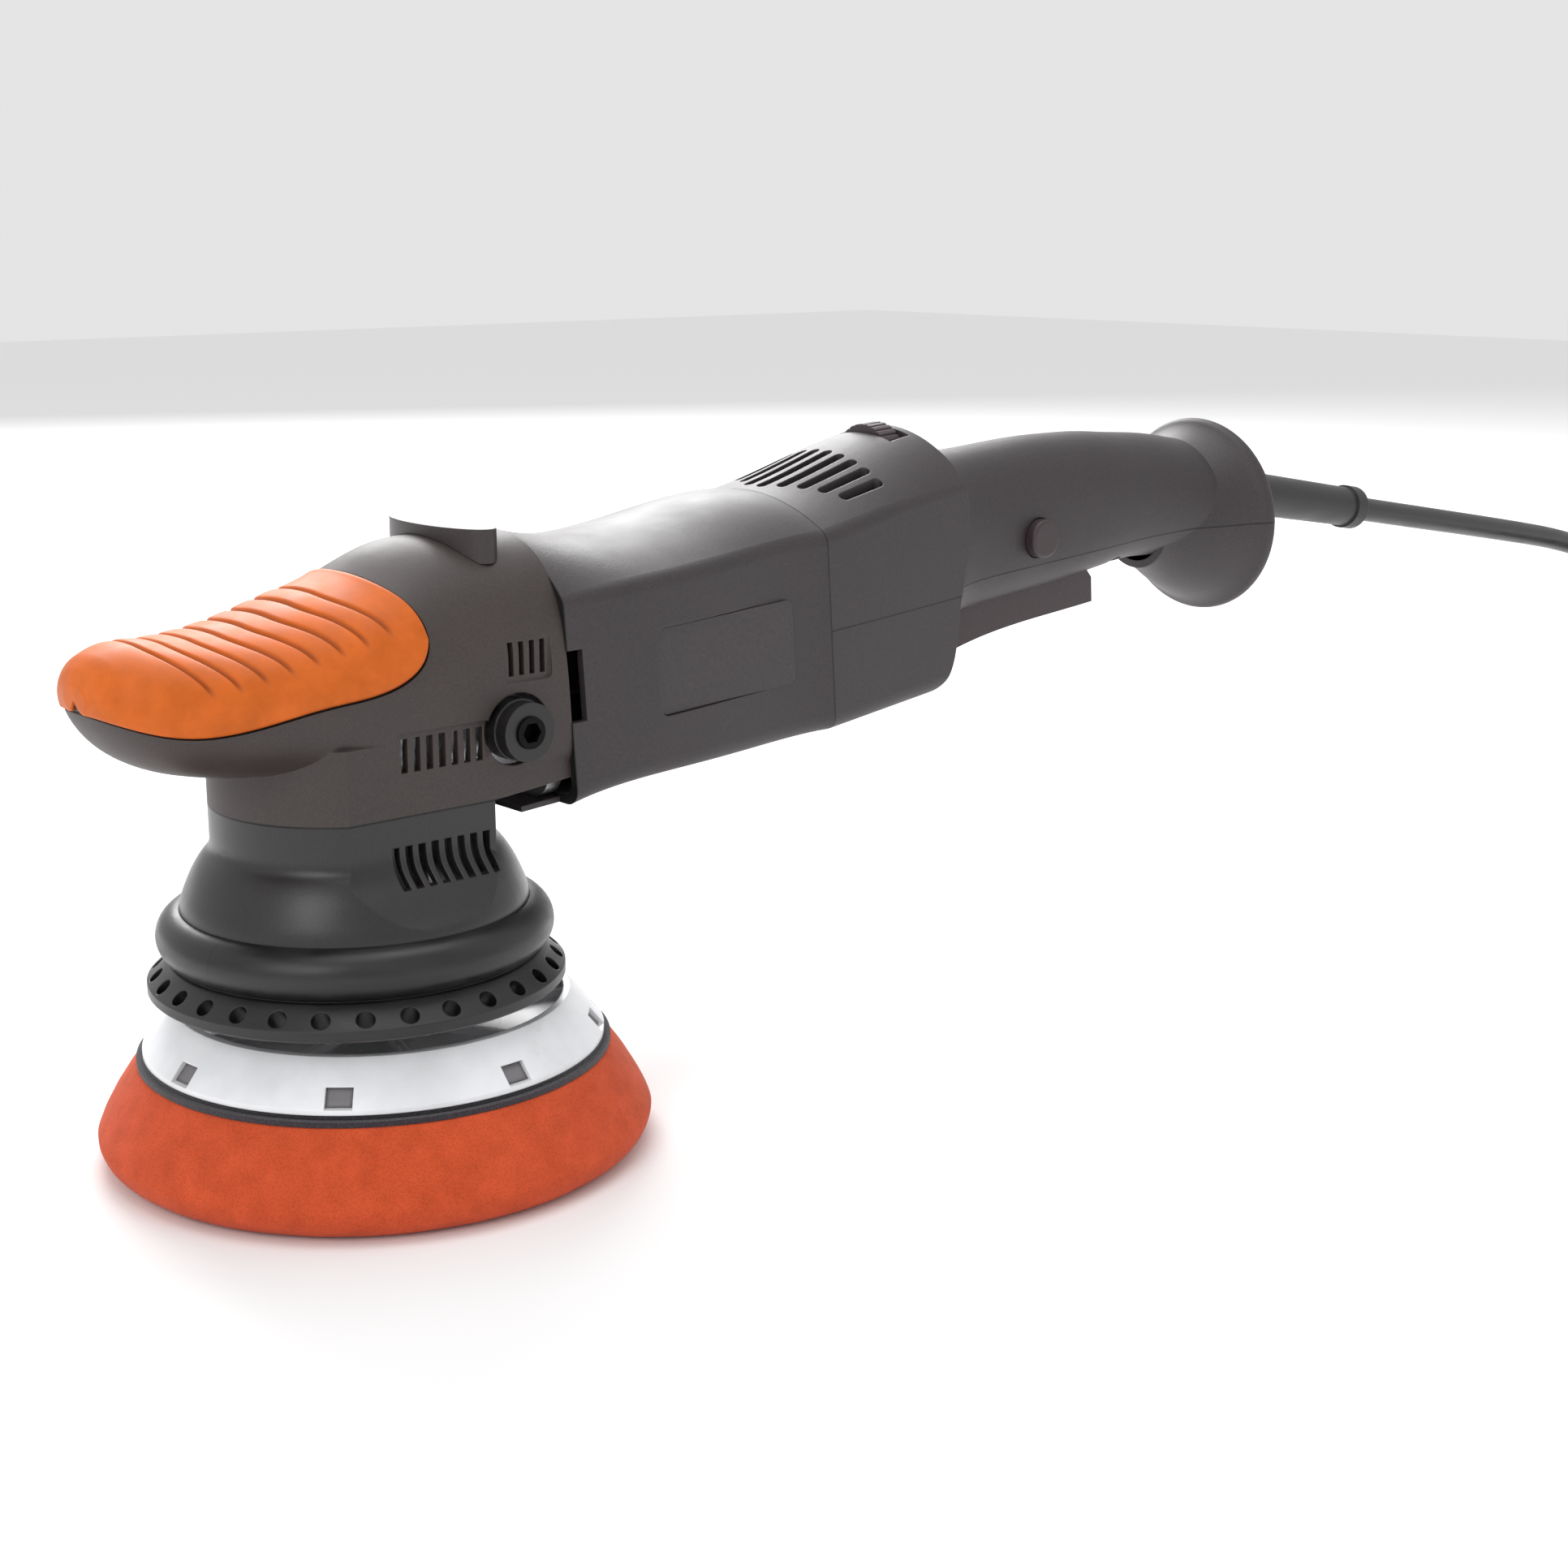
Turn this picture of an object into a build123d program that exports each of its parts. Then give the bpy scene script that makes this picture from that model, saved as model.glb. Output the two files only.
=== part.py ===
"""Long-throw random-orbital polisher with a 150 mm foam pad, a palm nose and a bar handle.

Row frame, millimetres: the origin is on the spindle axis at the pad's working face, +X points from the
head to the handle, +Z up. The motor axis leans up to the rear, so the barrel and the handle are drawn in
motor_frame (x to the side, y up, z back along the motor axis) and side_frame (x back, y up, z to the side).
"""

from build123d import *
import math
import os

os.makedirs("parts", exist_ok=True)

# ---------------------------------------------------------------- driving dimensions
motor_tilt = 3.74  # degrees, rear end up
axis_height = 125.0  # motor axis over the pad face, at the spindle axis
shell_wall = 2.6
running_clearance = 0.04  # radial, shaft in bearing
seat_clearance = 0.01  # radial, pieces seated in each other
button_clearance = 0.3

# pad stack
pad_radius = 75.0
pad_face_radius = 67.0
pad_wide_height = 8.5
pad_top_radius = 64.0
pad_thickness = 27.0
loop_layer_thickness = 1.4
hook_layer_thickness = 1.2
plate_radius = 62.0
plate_rim_height = 1.4
plate_crown_radius = 53.0
plate_height = 12.2
plate_wall = 2.0
plate_floor = 3.4
window_count = 8
window_width = 7.0
window_height = 4.6
window_first_angle = 4.0

# orbit
orbit_offset = 7.5  # half of the 15 mm orbit
orbit_angle = 27.4  # where the pad stands at rest, degrees about +Z
stud_radius = 4.0
pad_spindle_radius = 6.0
pad_bearing_radius = 14.0
pad_bearing_width = 8.0
counterweight_radius = 36.0

# rubber boot and shroud
boot_flange_radius = 55.2
boot_flange_bottom = 48.4
boot_flange_edge = 3.0
boot_waist_radius = 49.4
boot_waist_height = 57.0
boot_bulge_radius = 52.4
boot_top = 70.2
boot_hole_count = 30
boot_hole_radius = 2.4
boot_hole_lean = 38.0
bell_radius = 46.0
bell_shoulder = 69.0
neck_radius = 37.2
neck_half_width = 31.3
neck_rear = 24.0
parting_height = 98.6
shroud_slot_count = 8
shroud_slot_width = 2.3
shroud_slot_pitch = 3.95

# spindle and gears
spindle_radius = 5.0
spindle_foot_radius = 6.0
upper_bearing_radius = 13.0
upper_bearing_width = 8.0
upper_bearing_bottom = 91.0
lower_bearing_radius = 16.0
lower_bearing_width = 10.0
lower_bearing_bottom = 72.0
crown_teeth = 40
pinion_teeth = 10
crown_pitch_radius = 23.0
gear_face_width = 7.0

# motor
rotor_radius = 20.0
rotor_front = 68.0
rotor_rear = 104.0
air_gap = 0.5
stator_radius = 28.6
fan_radius = 25.0
fan_front = 50.0
fan_rear = 60.0
commutator_radius = 12.0
front_race_radius = 13.0
front_race_width = 8.0
front_race_front = 30.5
rear_race_radius = 11.0
rear_race_width = 7.0
rear_race_front = 131.0
shaft_radius = 5.0
shaft_rear_radius = 4.0

# housings, stations along the motor axis
head_split = 47.2
rear_split = 139.0
barrel_half_width = 36.0
seam_height = -3.5  # seam of the rear shells, over the motor axis
grip_rise = 0.9
grip_depth = 1.4
side_bolt_x = 31.0
side_bolt_height = 116.7

# controls
trigger_half_width = 9.2
trigger_slot_gap = 0.6
trigger_pivot = (273.0, -8.6)
pin_radius = 2.0
lock_button_radius = 6.2
lock_button_station = 245.4
lock_button_rise = 5.5
dial_radius = 12.0
dial_width = 7.0
dial_station = 191.5
dial_axis_rise = 35.6
flange_radius = 33.5
flange_station = 348.5

# cord
cord_radius = 4.4
cord_exit_angle = 9.3  # degrees, downwards
coil_mean_radius = 56.0
coil_columns = 3
coil_layers = 4
coil_centre = (770.0, -48.0)
tie_thickness = 0.8

# ---------------------------------------------------------------- frames and helpers
tilt_cos = math.cos(math.radians(motor_tilt))
tilt_sin = math.sin(math.radians(motor_tilt))
motor_direction = (tilt_cos, 0, tilt_sin)
motor_frame = Plane(origin=(0, 0, axis_height), x_dir=(0, 1, 0), z_dir=motor_direction)
side_frame = Plane(origin=(0, 0, axis_height), x_dir=motor_direction, z_dir=(0, -1, 0))
orbit_x = orbit_offset * math.cos(math.radians(orbit_angle))
orbit_y = orbit_offset * math.sin(math.radians(orbit_angle))
orbit_axis = Axis((orbit_x, orbit_y, 0), (0, 0, 1))
pad_plane = Plane(origin=(orbit_x, orbit_y, 0))
pad_profile_plane = Plane(origin=(orbit_x, orbit_y, 0), x_dir=(1, 0, 0), z_dir=(0, -1, 0))
orbit_frame = Plane(
    origin=(0, 0, 0),
    x_dir=(math.cos(math.radians(orbit_angle)), math.sin(math.radians(orbit_angle)), 0),
    z_dir=(0, 0, 1),
)


def motor_point(station, rise, side=0.0):
    """A point given by its station along the motor axis, its rise over it and its distance to the side."""
    return (
        station * tilt_cos - rise * tilt_sin,
        side,
        axis_height + station * tilt_sin + rise * tilt_cos,
    )


def station_plane(station, rise=0.0, side=0.0):
    """A plane across the motor axis."""
    return Plane(origin=motor_point(station, rise, side), x_dir=(0, 1, 0), z_dir=motor_direction)


def rise_plane(station, rise, side=0.0):
    """A plane along the motor axis whose normal is up; its x is to the side."""
    return Plane(origin=motor_point(station, rise, side), x_dir=(0, 1, 0), z_dir=motor_frame.y_dir)


def side_plane(side):
    """A plane along the motor axis, side millimetres towards -Y, with its normal that way."""
    return side_frame.offset(side)


def finish(builder, name):
    """Label a piece and write its STEP."""
    builder.part.label = name
    export_step(builder.part, "parts/" + name + ".step")


def ring(plane, outer, inner, length):
    """A plain ring standing on a plane."""
    with BuildPart() as piece:
        with BuildSketch(plane):
            Circle(outer)
            if inner > 0:
                Circle(inner, mode=Mode.SUBTRACT)
        extrude(amount=length)
    return piece.part


def box_section(plane, half_width, shoulder, top, bottom, top_round, bottom_round):
    """A barrel section: flat bottom and sides, rounded corners and a crowned top."""
    with BuildSketch(plane) as section:
        with BuildLine():
            Line((-half_width, shoulder), (-half_width, bottom))
            Line((-half_width, bottom), (half_width, bottom))
            Line((half_width, bottom), (half_width, shoulder))
            ThreePointArc((half_width, shoulder), (0, top), (-half_width, shoulder))
        make_face()
        corners = section.vertices().group_by(Axis((0, 0, 0), plane.y_dir))
        fillet(corners[0], bottom_round)
        fillet(section.vertices().group_by(Axis((0, 0, 0), plane.y_dir))[-1], top_round)
    return section.sketch


def oval_section(plane, half_width, middle, top, bottom, top_power, bottom_power):
    """A closed smooth section: a superellipse with its own height and power above and below the middle."""
    points = []
    steps = 24
    for step in range(steps):
        turn = 2 * math.pi * (step + 0.5) / steps
        across, up = math.cos(turn), math.sin(turn)
        power = top_power if up > 0 else bottom_power
        reach = (top - middle) if up > 0 else (middle - bottom)
        y = half_width * math.copysign(abs(across) ** (2 / power), across)
        z = middle + reach * math.copysign(abs(up) ** (2 / power), up)
        points.append((y, z))
    with BuildSketch(plane) as section:
        with BuildLine():
            Spline(*points, periodic=True)
        make_face()
    return section.sketch


def slopes_of(stations, values):
    """Slopes for a curve through the values that never swings past them (harmonic means of the chords)."""
    chords = [
        (after - before) / (far - near)
        for before, after, near, far in zip(values, values[1:], stations, stations[1:])
    ]
    slopes = [chords[0]]
    for left, right in zip(chords, chords[1:]):
        slopes.append(2 * left * right / (left + right) if left * right > 0 else 0.0)
    return slopes + [chords[-1]]


def faired(rows, spacing):
    """Rows of (station, value, value...) with more rows put in between, no further apart than spacing."""
    stations = [row[0] for row in rows]
    columns = list(zip(*rows))[1:]
    slopes = [slopes_of(stations, column) for column in columns]
    result = []
    for index in range(len(rows) - 1):
        gap = stations[index + 1] - stations[index]
        steps = max(1, math.ceil(gap / spacing))
        for step in range(steps):
            t = step / steps
            row = [stations[index] + t * gap]
            for column, slope in zip(columns, slopes):
                near = (2 * t**3 - 3 * t**2 + 1) * column[index]
                near += (t**3 - 2 * t**2 + t) * gap * slope[index]
                far = (3 * t**2 - 2 * t**3) * column[index + 1]
                far += (t**3 - t**2) * gap * slope[index + 1]
                row.append(near + far)
            result.append(tuple(row))
    return result + [tuple(rows[-1])]


# ---------------------------------------------------------------- pad stack
plate_bottom = pad_thickness + loop_layer_thickness + hook_layer_thickness
plate_rim_top = plate_bottom + plate_rim_height
plate_top = plate_bottom + plate_height
plate_floor_top = plate_bottom + plate_floor

with BuildPart() as foam_pad:
    with BuildSketch(pad_profile_plane):
        with BuildLine():
            Line((0, 0), (pad_face_radius, 0))
            ThreePointArc(
                (pad_face_radius, 0),
                (pad_radius - 2.2, 0.32 * pad_wide_height),
                (pad_radius, pad_wide_height),
            )
            ThreePointArc(
                (pad_radius, pad_wide_height),
                ((pad_radius + pad_top_radius) / 2 + 0.9, (pad_wide_height + pad_thickness) / 2),
                (pad_top_radius, pad_thickness),
            )
            Line((pad_top_radius, pad_thickness), (0, pad_thickness))
            Line((0, pad_thickness), (0, 0))
        make_face()
    revolve(axis=orbit_axis)
finish(foam_pad, "foam_pad")

with BuildPart() as pad_loop_layer:
    add(ring(pad_plane.offset(pad_thickness), pad_top_radius - 0.3, 0, loop_layer_thickness))
finish(pad_loop_layer, "pad_loop_layer")

with BuildPart() as plate_hook_layer:
    hook_bottom = pad_thickness + loop_layer_thickness
    add(ring(pad_plane.offset(hook_bottom), plate_radius, 0, hook_layer_thickness))
finish(plate_hook_layer, "plate_hook_layer")

hub_radius = 14.0
hub_top = 40.0
stud_flange_radius = 10.0
stud_flange_height = 3.0 - 0.6
with BuildPart() as backing_plate:
    with BuildSketch(pad_profile_plane):
        Polygon(
            (0, plate_bottom),
            (plate_radius, plate_bottom),
            (plate_radius, plate_rim_top),
            (plate_crown_radius, plate_top),
            (plate_crown_radius - plate_wall, plate_top),
            (plate_radius - 2.3 * plate_wall, plate_floor_top),
            (hub_radius, plate_floor_top),
            (hub_radius, hub_top),
            (0, hub_top),
            align=None,
        )
    revolve(axis=orbit_axis)
    with BuildSketch(pad_plane.offset(plate_bottom)):
        Circle(stud_radius + seat_clearance)
    extrude(amount=plate_height, mode=Mode.SUBTRACT)
    with BuildSketch(pad_plane.offset(plate_bottom)):
        Circle(stud_flange_radius + seat_clearance)
    extrude(amount=stud_flange_height, mode=Mode.SUBTRACT)
    window_depth = 5.0
    with Locations(pad_plane.offset(plate_rim_top + window_height / 2)):
        with PolarLocations(plate_radius - window_depth / 2, window_count, window_first_angle):
            Box(window_depth + 2, window_width, window_height, mode=Mode.SUBTRACT)
    rib_length = plate_radius - 2.3 * plate_wall - hub_radius
    with Locations(pad_plane.offset(plate_floor_top + 1.2)):
        with PolarLocations(hub_radius + rib_length / 2 - 1, window_count, window_first_angle + 22.5):
            Box(rib_length, 2.0, 2.4)
finish(backing_plate, "backing_plate")

stud_top = 58.0
with BuildPart() as plate_stud:
    with BuildSketch(pad_plane.offset(plate_bottom)):
        Circle(stud_flange_radius)
    extrude(amount=stud_flange_height)
    with BuildSketch(pad_plane.offset(plate_bottom)):
        Circle(stud_radius)
    extrude(amount=stud_top - plate_bottom)
finish(plate_stud, "plate_stud")

pad_bearing_bottom = 46.0
pad_bearing_top = pad_bearing_bottom + 2 * pad_bearing_width
with BuildPart() as pad_spindle:
    with BuildSketch(pad_plane.offset(hub_top)):
        Circle(10)
    extrude(amount=4.4)
    with BuildSketch(pad_plane.offset(hub_top)):
        Circle(pad_spindle_radius - running_clearance)
    extrude(amount=pad_bearing_top - hub_top - 0.6)
    with BuildSketch(pad_plane.offset(hub_top)):
        Circle(stud_radius + seat_clearance)
    extrude(amount=stud_top - hub_top + 0.5, mode=Mode.SUBTRACT)
    with Locations(pad_plane.offset(hub_top + 2.2)):
        with PolarLocations(10, 2):
            Box(3, 14, 5, mode=Mode.SUBTRACT)
finish(pad_spindle, "pad_spindle")

with BuildPart() as pad_bearings:
    for level in range(2):
        bearing_plane = pad_plane.offset(pad_bearing_bottom + level * pad_bearing_width)
        bearing_height = pad_bearing_width - 0.05
        bearing_rim = pad_bearing_radius - seat_clearance
        add(ring(bearing_plane, bearing_rim, pad_spindle_radius, bearing_height))
finish(pad_bearings, "pad_bearings")

# ---------------------------------------------------------------- eccentric and spindle
eccentric_bottom = pad_bearing_bottom - 0.2
eccentric_top = 70.0
eccentric_hub_radius = pad_bearing_radius + 4.5
counterweight_bottom = 56.5
with BuildPart() as eccentric:
    with BuildSketch(pad_plane.offset(eccentric_bottom)):
        Circle(eccentric_hub_radius)
    extrude(amount=counterweight_bottom + 11 - eccentric_bottom)
    with BuildSketch(Plane.XY.offset(counterweight_bottom)):
        Circle(12)
    extrude(amount=eccentric_top - counterweight_bottom)
    with BuildSketch(orbit_frame.offset(counterweight_bottom)):
        Circle(counterweight_radius)
        with Locations((counterweight_radius - 4, 0)):
            Rectangle(2 * counterweight_radius, 3 * counterweight_radius, mode=Mode.SUBTRACT)
    extrude(amount=11)
    with BuildSketch(pad_plane.offset(eccentric_bottom)):
        Circle(pad_bearing_radius)
    extrude(amount=pad_bearing_top - eccentric_bottom, mode=Mode.SUBTRACT)
    with BuildSketch(Plane.XY.offset(pad_bearing_top)):
        Circle(spindle_foot_radius + seat_clearance)
    extrude(amount=eccentric_top, mode=Mode.SUBTRACT)
finish(eccentric, "eccentric")

gear_hub_bottom = 103.5
gear_back = 112.0
spindle_top = 117.5
with BuildPart() as spindle:
    with BuildSketch(Plane.XY.offset(pad_bearing_top + 0.1)):
        Circle(spindle_foot_radius - running_clearance)
    extrude(amount=lower_bearing_bottom + lower_bearing_width + 2 - pad_bearing_top)
    with BuildSketch(Plane.XY.offset(lower_bearing_bottom)):
        Circle(spindle_radius - running_clearance)
    extrude(amount=spindle_top - lower_bearing_bottom)
finish(spindle, "spindle")

# Bevel pair: both pitch cones meet at the apex where the axes cross.
shaft_angle = 90 + motor_tilt
gear_ratio = crown_teeth / pinion_teeth
pinion_cone = math.degrees(
    math.atan2(
        math.sin(math.radians(shaft_angle)),
        gear_ratio + math.cos(math.radians(shaft_angle)),
    )
)
crown_cone = shaft_angle - pinion_cone
cone_distance = crown_pitch_radius / math.sin(math.radians(crown_cone))
gear_module = 2 * crown_pitch_radius / crown_teeth
addendum = 0.75 * gear_module
dedendum = 1.1 * gear_module
apex = (0, 0, axis_height)


def bevel_teeth(gear_frame, cone, teeth, half_widths, first_angle):
    """Straight bevel teeth whose apex is the frame's origin and whose axis is its z.

    half_widths are half the tooth's width at the root, at the pitch line and at the tip, at the outer end.
    """
    lean = math.radians(cone)
    ends = []
    for distance in (cone_distance, cone_distance - gear_face_width):
        share = distance / cone_distance
        corners = []
        for level, half in zip((-dedendum - 0.3, 0, addendum), half_widths):
            radial = distance * math.sin(lean) + share * level * math.cos(lean)
            along = distance * math.cos(lean) - share * level * math.sin(lean)
            corners.append((radial, share * half, along))
        outline = [(r, -h, a) for r, h, a in corners] + corners[::-1]
        ends.append(Face(Wire.make_polygon([Vector(*point) for point in outline], close=True)))
    with BuildPart() as tooth:
        loft(sections=ends, ruled=True)
    with BuildPart() as toothing:
        with Locations(gear_frame.location):
            with PolarLocations(0, teeth, first_angle):
                add(tooth.part)
    return toothing.part


crown_frame = Plane(origin=apex, x_dir=(1, 0, 0), z_dir=(0, 0, -1))
pinion_frame = motor_frame
crown_half_widths = (1.22, 0.78, 0.46)
pinion_half_widths = (0.98, 0.76, 0.34)


def cone_blank(gear_frame, cone, back, bore, hub, hub_back):
    """Root-cone blank of a bevel gear from its inner end to its back, with a hub and a bore."""
    lean = math.radians(cone)
    profile = []
    for distance in (cone_distance - gear_face_width, cone_distance):
        depth = dedendum * distance / cone_distance
        radial = distance * math.sin(lean) - depth * math.cos(lean)
        along = distance * math.cos(lean) + depth * math.sin(lean)
        profile.append((radial, along))
    plane = Plane(origin=gear_frame.origin, x_dir=gear_frame.x_dir, z_dir=-gear_frame.y_dir)
    with BuildPart() as blank:
        with BuildSketch(plane):
            Polygon(
                (bore, profile[0][1]),
                profile[0],
                profile[1],
                (profile[1][0], back),
                (hub, back),
                (hub, hub_back),
                (bore, hub_back),
                align=None,
            )
        revolve(axis=Axis(gear_frame.origin, gear_frame.z_dir))
    return blank.part


with BuildPart() as crown_gear:
    add(
        cone_blank(
            crown_frame,
            crown_cone,
            axis_height - gear_back,
            spindle_radius,
            9,
            axis_height - gear_hub_bottom,
        )
    )
    add(bevel_teeth(crown_frame, crown_cone, crown_teeth, crown_half_widths, 180 / crown_teeth))
finish(crown_gear, "crown_gear")

pinion_back = 24.0
pinion_hub_back = 28.0
shaft_nose_radius = 2.2
with BuildPart() as pinion:
    add(
        cone_blank(
            pinion_frame, pinion_cone, pinion_back, shaft_nose_radius, 4.4, pinion_hub_back
        )
    )
    add(bevel_teeth(pinion_frame, pinion_cone, pinion_teeth, pinion_half_widths, -90))
finish(pinion, "pinion")

with BuildPart() as spindle_bearing_upper:
    upper_plane = Plane.XY.offset(upper_bearing_bottom)
    upper_rim = upper_bearing_radius - seat_clearance
    add(ring(upper_plane, upper_rim, spindle_radius, upper_bearing_width))
finish(spindle_bearing_upper, "spindle_bearing_upper")

with BuildPart() as spindle_bearing_lower:
    lower_plane = Plane.XY.offset(lower_bearing_bottom)
    lower_rim = lower_bearing_radius - seat_clearance
    add(ring(lower_plane, lower_rim, spindle_foot_radius, lower_bearing_width))
finish(spindle_bearing_lower, "spindle_bearing_lower")

# ---------------------------------------------------------------- boot and shroud
with BuildPart() as boot_ring:
    with BuildSketch(Plane.XZ):
        with BuildLine():
            flange_top = boot_flange_bottom + boot_flange_edge
            Polyline(
                (bell_radius, boot_top),
                (bell_radius, boot_waist_height),
                (bell_radius - 4, boot_waist_height),
                (bell_radius - 4, boot_flange_bottom),
                (boot_flange_radius - 0.6, boot_flange_bottom),
                (boot_flange_radius, boot_flange_bottom + 0.6),
                (boot_flange_radius, flange_top),
                (boot_waist_radius, boot_waist_height - 0.4),
                (boot_waist_radius - 1.0, boot_waist_height),
            )
            ThreePointArc(
                (boot_waist_radius - 1.0, boot_waist_height),
                (boot_bulge_radius, 0.52 * boot_top + 0.48 * boot_waist_height - 0.3),
                (bell_radius, boot_top),
            )
        make_face()
    revolve(axis=Axis.Z)
    hole_radius_position = (boot_flange_radius + boot_waist_radius) / 2 + 0.4
    hole_height = (flange_top + boot_waist_height) / 2 - 0.6
    with Locations(Plane.XY.offset(hole_height)):
        with PolarLocations(hole_radius_position, boot_hole_count):
            Cylinder(boot_hole_radius, 22, rotation=(0, boot_hole_lean, 0), mode=Mode.SUBTRACT)
finish(boot_ring, "boot_ring")


def neck_outline(plane, inset):
    """The neck's plan: a round front, flat sides and a square rear end."""
    with BuildSketch(plane) as outline:
        Circle(neck_radius - inset)
        with Locations(((neck_rear - inset) / 2, 0)):
            Rectangle(neck_rear - inset, 2 * (neck_half_width - inset))
        with Locations((neck_rear - inset + 50, 0)):
            Rectangle(100, 200, mode=Mode.SUBTRACT)
        with Locations((0, neck_half_width - inset + 50), (0, inset - neck_half_width - 50)):
            Rectangle(200, 100, mode=Mode.SUBTRACT)
    return outline.sketch


bell_line = (
    (bell_radius - 1.7, 76.0),
    (bell_radius - 4.1, 81.0),
    (bell_radius - 6.9, 85.0),
)
bell_neck_height = 89.5


def bell_solid(inset, bottom):
    """The bell of the shroud: a cylinder, an S-curved shoulder and the neck, with flattened sides."""
    with BuildPart() as bell:
        with BuildSketch(Plane.XZ):
            with BuildLine():
                start = (bell_radius - inset, bell_shoulder)
                end = (neck_radius - inset, bell_neck_height)
                points = [(r - inset, z) for r, z in bell_line]
                Spline(start, *points, end, tangents=((0, 1), (0, 1)))
                Polyline(
                    end,
                    (neck_radius - inset, parting_height),
                    (0, parting_height),
                    (0, bottom),
                    (bell_radius - inset, bottom),
                    start,
                )
            make_face()
        revolve(axis=Axis.Z)
        for side in (-1, 1):
            with BuildSketch(Plane.YZ.offset(-60)):
                with BuildLine():
                    flat = neck_half_width - inset
                    low = (side * (bell_radius - inset + 0.5), bell_shoulder - 0.4)
                    high = (side * flat, bell_neck_height + 1)
                    between = [
                        (side * (flat + 0.82 * (bell_radius - neck_half_width)), 74.0),
                        (side * (flat + 0.52 * (bell_radius - neck_half_width)), 78.6),
                        (side * (flat + 0.2 * (bell_radius - neck_half_width)), 83.2),
                    ]
                    Spline(low, *between, high, tangents=((0, 1), (0, 1)))
                    Polyline(
                        high,
                        (side * flat, parting_height + 1),
                        (side * 60, parting_height + 1),
                        (side * 60, bell_shoulder - 0.4),
                        low,
                    )
                make_face()
            extrude(amount=120, mode=Mode.SUBTRACT)
        with BuildSketch(Plane.XY.offset(bell_neck_height - 6)):
            with Locations(((neck_rear - inset) / 2, 0)):
                Rectangle(neck_rear - inset, 2 * (neck_half_width - inset))
        extrude(amount=parting_height - bell_neck_height + 6)
        with BuildSketch(Plane.XY.offset(bell_neck_height)):
            with Locations((neck_rear - inset + 50, 0)):
                Rectangle(100, 200)
        extrude(amount=20, mode=Mode.SUBTRACT)
    return bell.part


shroud_slot_bottom = 81.0
shroud_slot_top = 91.0
shroud_slot_first = -6.8
with BuildPart() as shroud:
    add(bell_solid(0, boot_waist_height))
    add(bell_solid(shell_wall, boot_waist_height - 1), mode=Mode.SUBTRACT)
    slot_height = shroud_slot_top - shroud_slot_bottom
    for side in (-1, 1):
        for index in range(shroud_slot_count):
            slot_x = shroud_slot_first + index * shroud_slot_pitch
            with Locations((slot_x, side * neck_half_width, shroud_slot_bottom + slot_height / 2)):
                Box(shroud_slot_width, 16, slot_height, mode=Mode.SUBTRACT)
finish(shroud, "shroud")

bearing_plate_bottom = lower_bearing_bottom - 1.5
with BuildPart() as bearing_plate:
    with BuildSketch(Plane.XY.offset(bearing_plate_bottom)):
        Circle(30)
        with PolarLocations(25, 3, 60):
            Circle(2.2, mode=Mode.SUBTRACT)
    extrude(amount=4)
    with BuildSketch(Plane.XY.offset(bearing_plate_bottom)):
        Circle(lower_bearing_radius + 3)
    extrude(amount=lower_bearing_width + 1.5)
    with BuildSketch(Plane.XY.offset(lower_bearing_bottom)):
        Circle(lower_bearing_radius)
    extrude(amount=lower_bearing_width, mode=Mode.SUBTRACT)
    with BuildSketch(Plane.XY.offset(bearing_plate_bottom)):
        Circle(13)
    extrude(amount=lower_bearing_width, mode=Mode.SUBTRACT)
finish(bearing_plate, "bearing_plate")

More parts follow.
